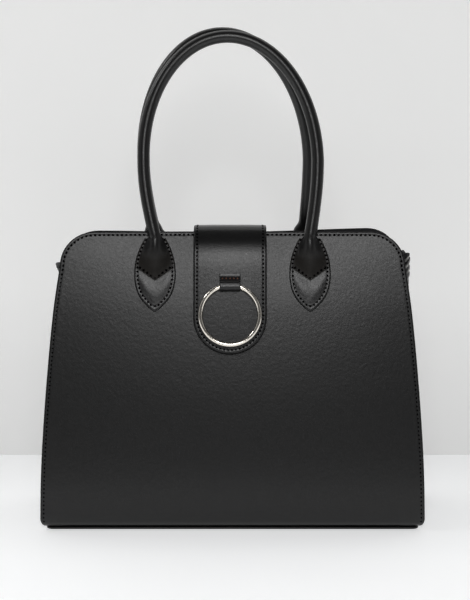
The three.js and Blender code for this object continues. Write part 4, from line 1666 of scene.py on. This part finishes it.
class TOTE_OT_flap(bpy.types.Operator):
    """Build the strap flap and the snap behind its tip"""

    bl_idname = "tote.flap"
    bl_label = "Flap"

    def execute(self, context):
        dress(build_flap("flap_leather"), "bag", "flap")
        dress(build_snap("flap_snap_disc"), "bag", "flap_snap")
        return {"FINISHED"}


class TOTE_OT_ring(bpy.types.Operator):
    """Build the ring and the leather keeper that it swings in"""

    bl_idname = "tote.ring"
    bl_label = "Ring and Keeper"

    def execute(self, context):
        dress(build_keeper("keeper_leather"), "bag", "ring_keeper")
        dress(build_ring("ring_polished"), "ring", "ring")
        return {"FINISHED"}


class TOTE_OT_handles(bpy.types.Operator):
    """Build the two rolled handles and the four padded tabs that they stand on"""

    bl_idname = "tote.handles"
    bl_label = "Handles and Tabs"

    def execute(self, context):
        for side_name, side in (("front", FRONT), ("back", BACK)):
            for end_name, end in (("left", LEFT), ("right", RIGHT)):
                node = f"handle_tab_{side_name}_{end_name}"
                tab = dress(build_tab(side, end, f"{node}_leather"), "bag", node)
        for node, handle in HANDLES.items():
            dress(build_handle(handle, f"{node}_leather"), "bag", node)
        return {"FINISHED"}


class TOTE_OT_stitching(bpy.types.Operator):
    """Sew the rows of stitches on the panels, gussets, base, flap, tabs and keeper"""

    bl_idname = "tote.stitching"
    bl_label = "Stitching"

    def execute(self, context):
        sewing = context.scene.tote_stitching
        kinds = {"keeper": (KEEPER_STITCH, KEEPER_PITCH)}
        for kind, (length, width, pitch, height) in STITCH_KINDS.items():
            size = (sewing.length * length, sewing.width * width, height)
            kinds[kind] = (size, sewing.pitch * pitch)
        tops, sides = panel_rows()
        groups = (
            ("panel_stitches", tops, "thread", "plain", "panel_leather"),
            ("side_stitches", sides, "thread", "fine", "panel_leather"),
            ("hem_stitches", gusset_rows() + base_rows(), "thread", "plain", "panel_leather"),
            ("flap_stitches", flap_rows(), "thread", "short", "trim_leather"),
            ("tab_stitches", tab_rows() + vee_rows(), "thread", "small", "trim_leather"),
            ("keeper_stitches", keeper_rows(), "keeper_thread", "keeper", "trim_leather"),
        )
        for name, rows, thread, kind, slot in groups:
            piece = sew(name, rows, thread, *kinds[kind])
            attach(piece, "bag")
        return {"FINISHED"}


class TOTE_OT_stage(bpy.types.Operator):
    """Set up the floor, the wall, the studio light and the camera"""

    bl_idname = "tote.stage"
    bl_label = "Stage"

    def execute(self, context):
        scene = context.scene
        studio = scene.tote_stage
        back, side = studio.wall_distance, STAGE_REACH["side"]
        front, up = -STAGE_REACH["front"], STAGE_REACH["up"]
        floor = plane_piece("floor", [(-side, front, 0), (side, front, 0), (side, back, 0), (-side, back, 0)])
        floor.data.materials.append(stage_material("pale_floor", studio.floor, "Y", FLOOR_GLOW))
        wall = plane_piece("wall", [(-side, back, 0), (side, back, 0), (side, back, up), (-side, back, up)])
        wall.data.materials.append(stage_material("pale_wall", studio.wall, "Z", WALL_GLOW))
        add_light(*SOFTBOX, studio.softbox, "ELLIPSE")
        high = BACK_LIGHT["height"]
        place = (0.0, back - BACK_LIGHT["off_wall"], high)
        add_light("back_light", place, (0.0, -2.0, high), BACK_LIGHT["size"], BACK_LIGHT["power"])
        for light in LIGHTS:
            add_light(*light)
        set_world(scene)
        set_camera(scene)
        scene.view_settings.view_transform = "Standard"
        return {"FINISHED"}


class TOTE_PT_bag(bpy.types.Panel):
    """Tote bag's pieces and settings"""

    bl_idname = "TOTE_PT_bag"
    bl_label = "Tote Bag"
    bl_space_type = "VIEW_3D"
    bl_region_type = "UI"
    bl_category = "Tote Bag"

    def draw(self, context):
        for operator in BUILD_ORDER:
            self.layout.operator(operator.bl_idname)
        for settings in SETTINGS:
            group = getattr(context.scene, settings)
            box = self.layout.box()
            for name in group.__annotations__:
                box.prop(group, name)


SETTINGS = {"tote_leather": ToteLeather, "tote_stitching": ToteStitching, "tote_stage": ToteStage}
BUILD_ORDER = (
    TOTE_OT_stage,
    TOTE_OT_panels,
    TOTE_OT_gussets,
    TOTE_OT_base,
    TOTE_OT_flap,
    TOTE_OT_ring,
    TOTE_OT_handles,
    TOTE_OT_stitching,
)
CLASSES = (*SETTINGS.values(), *BUILD_ORDER, TOTE_PT_bag)


def register():
    for cls in CLASSES:
        bpy.utils.register_class(cls)
    for name, group in SETTINGS.items():
        setattr(bpy.types.Scene, name, bpy.props.PointerProperty(type=group))


def unregister():
    for name in SETTINGS:
        delattr(bpy.types.Scene, name)
    for cls in reversed(CLASSES):
        bpy.utils.unregister_class(cls)


def main():
    register()
    for operator in BUILD_ORDER:
        group, name = operator.bl_idname.split(".")
        getattr(getattr(bpy.ops, group), name)()
    bpy.context.view_layer.update()


if __name__ == "__main__":
    main()
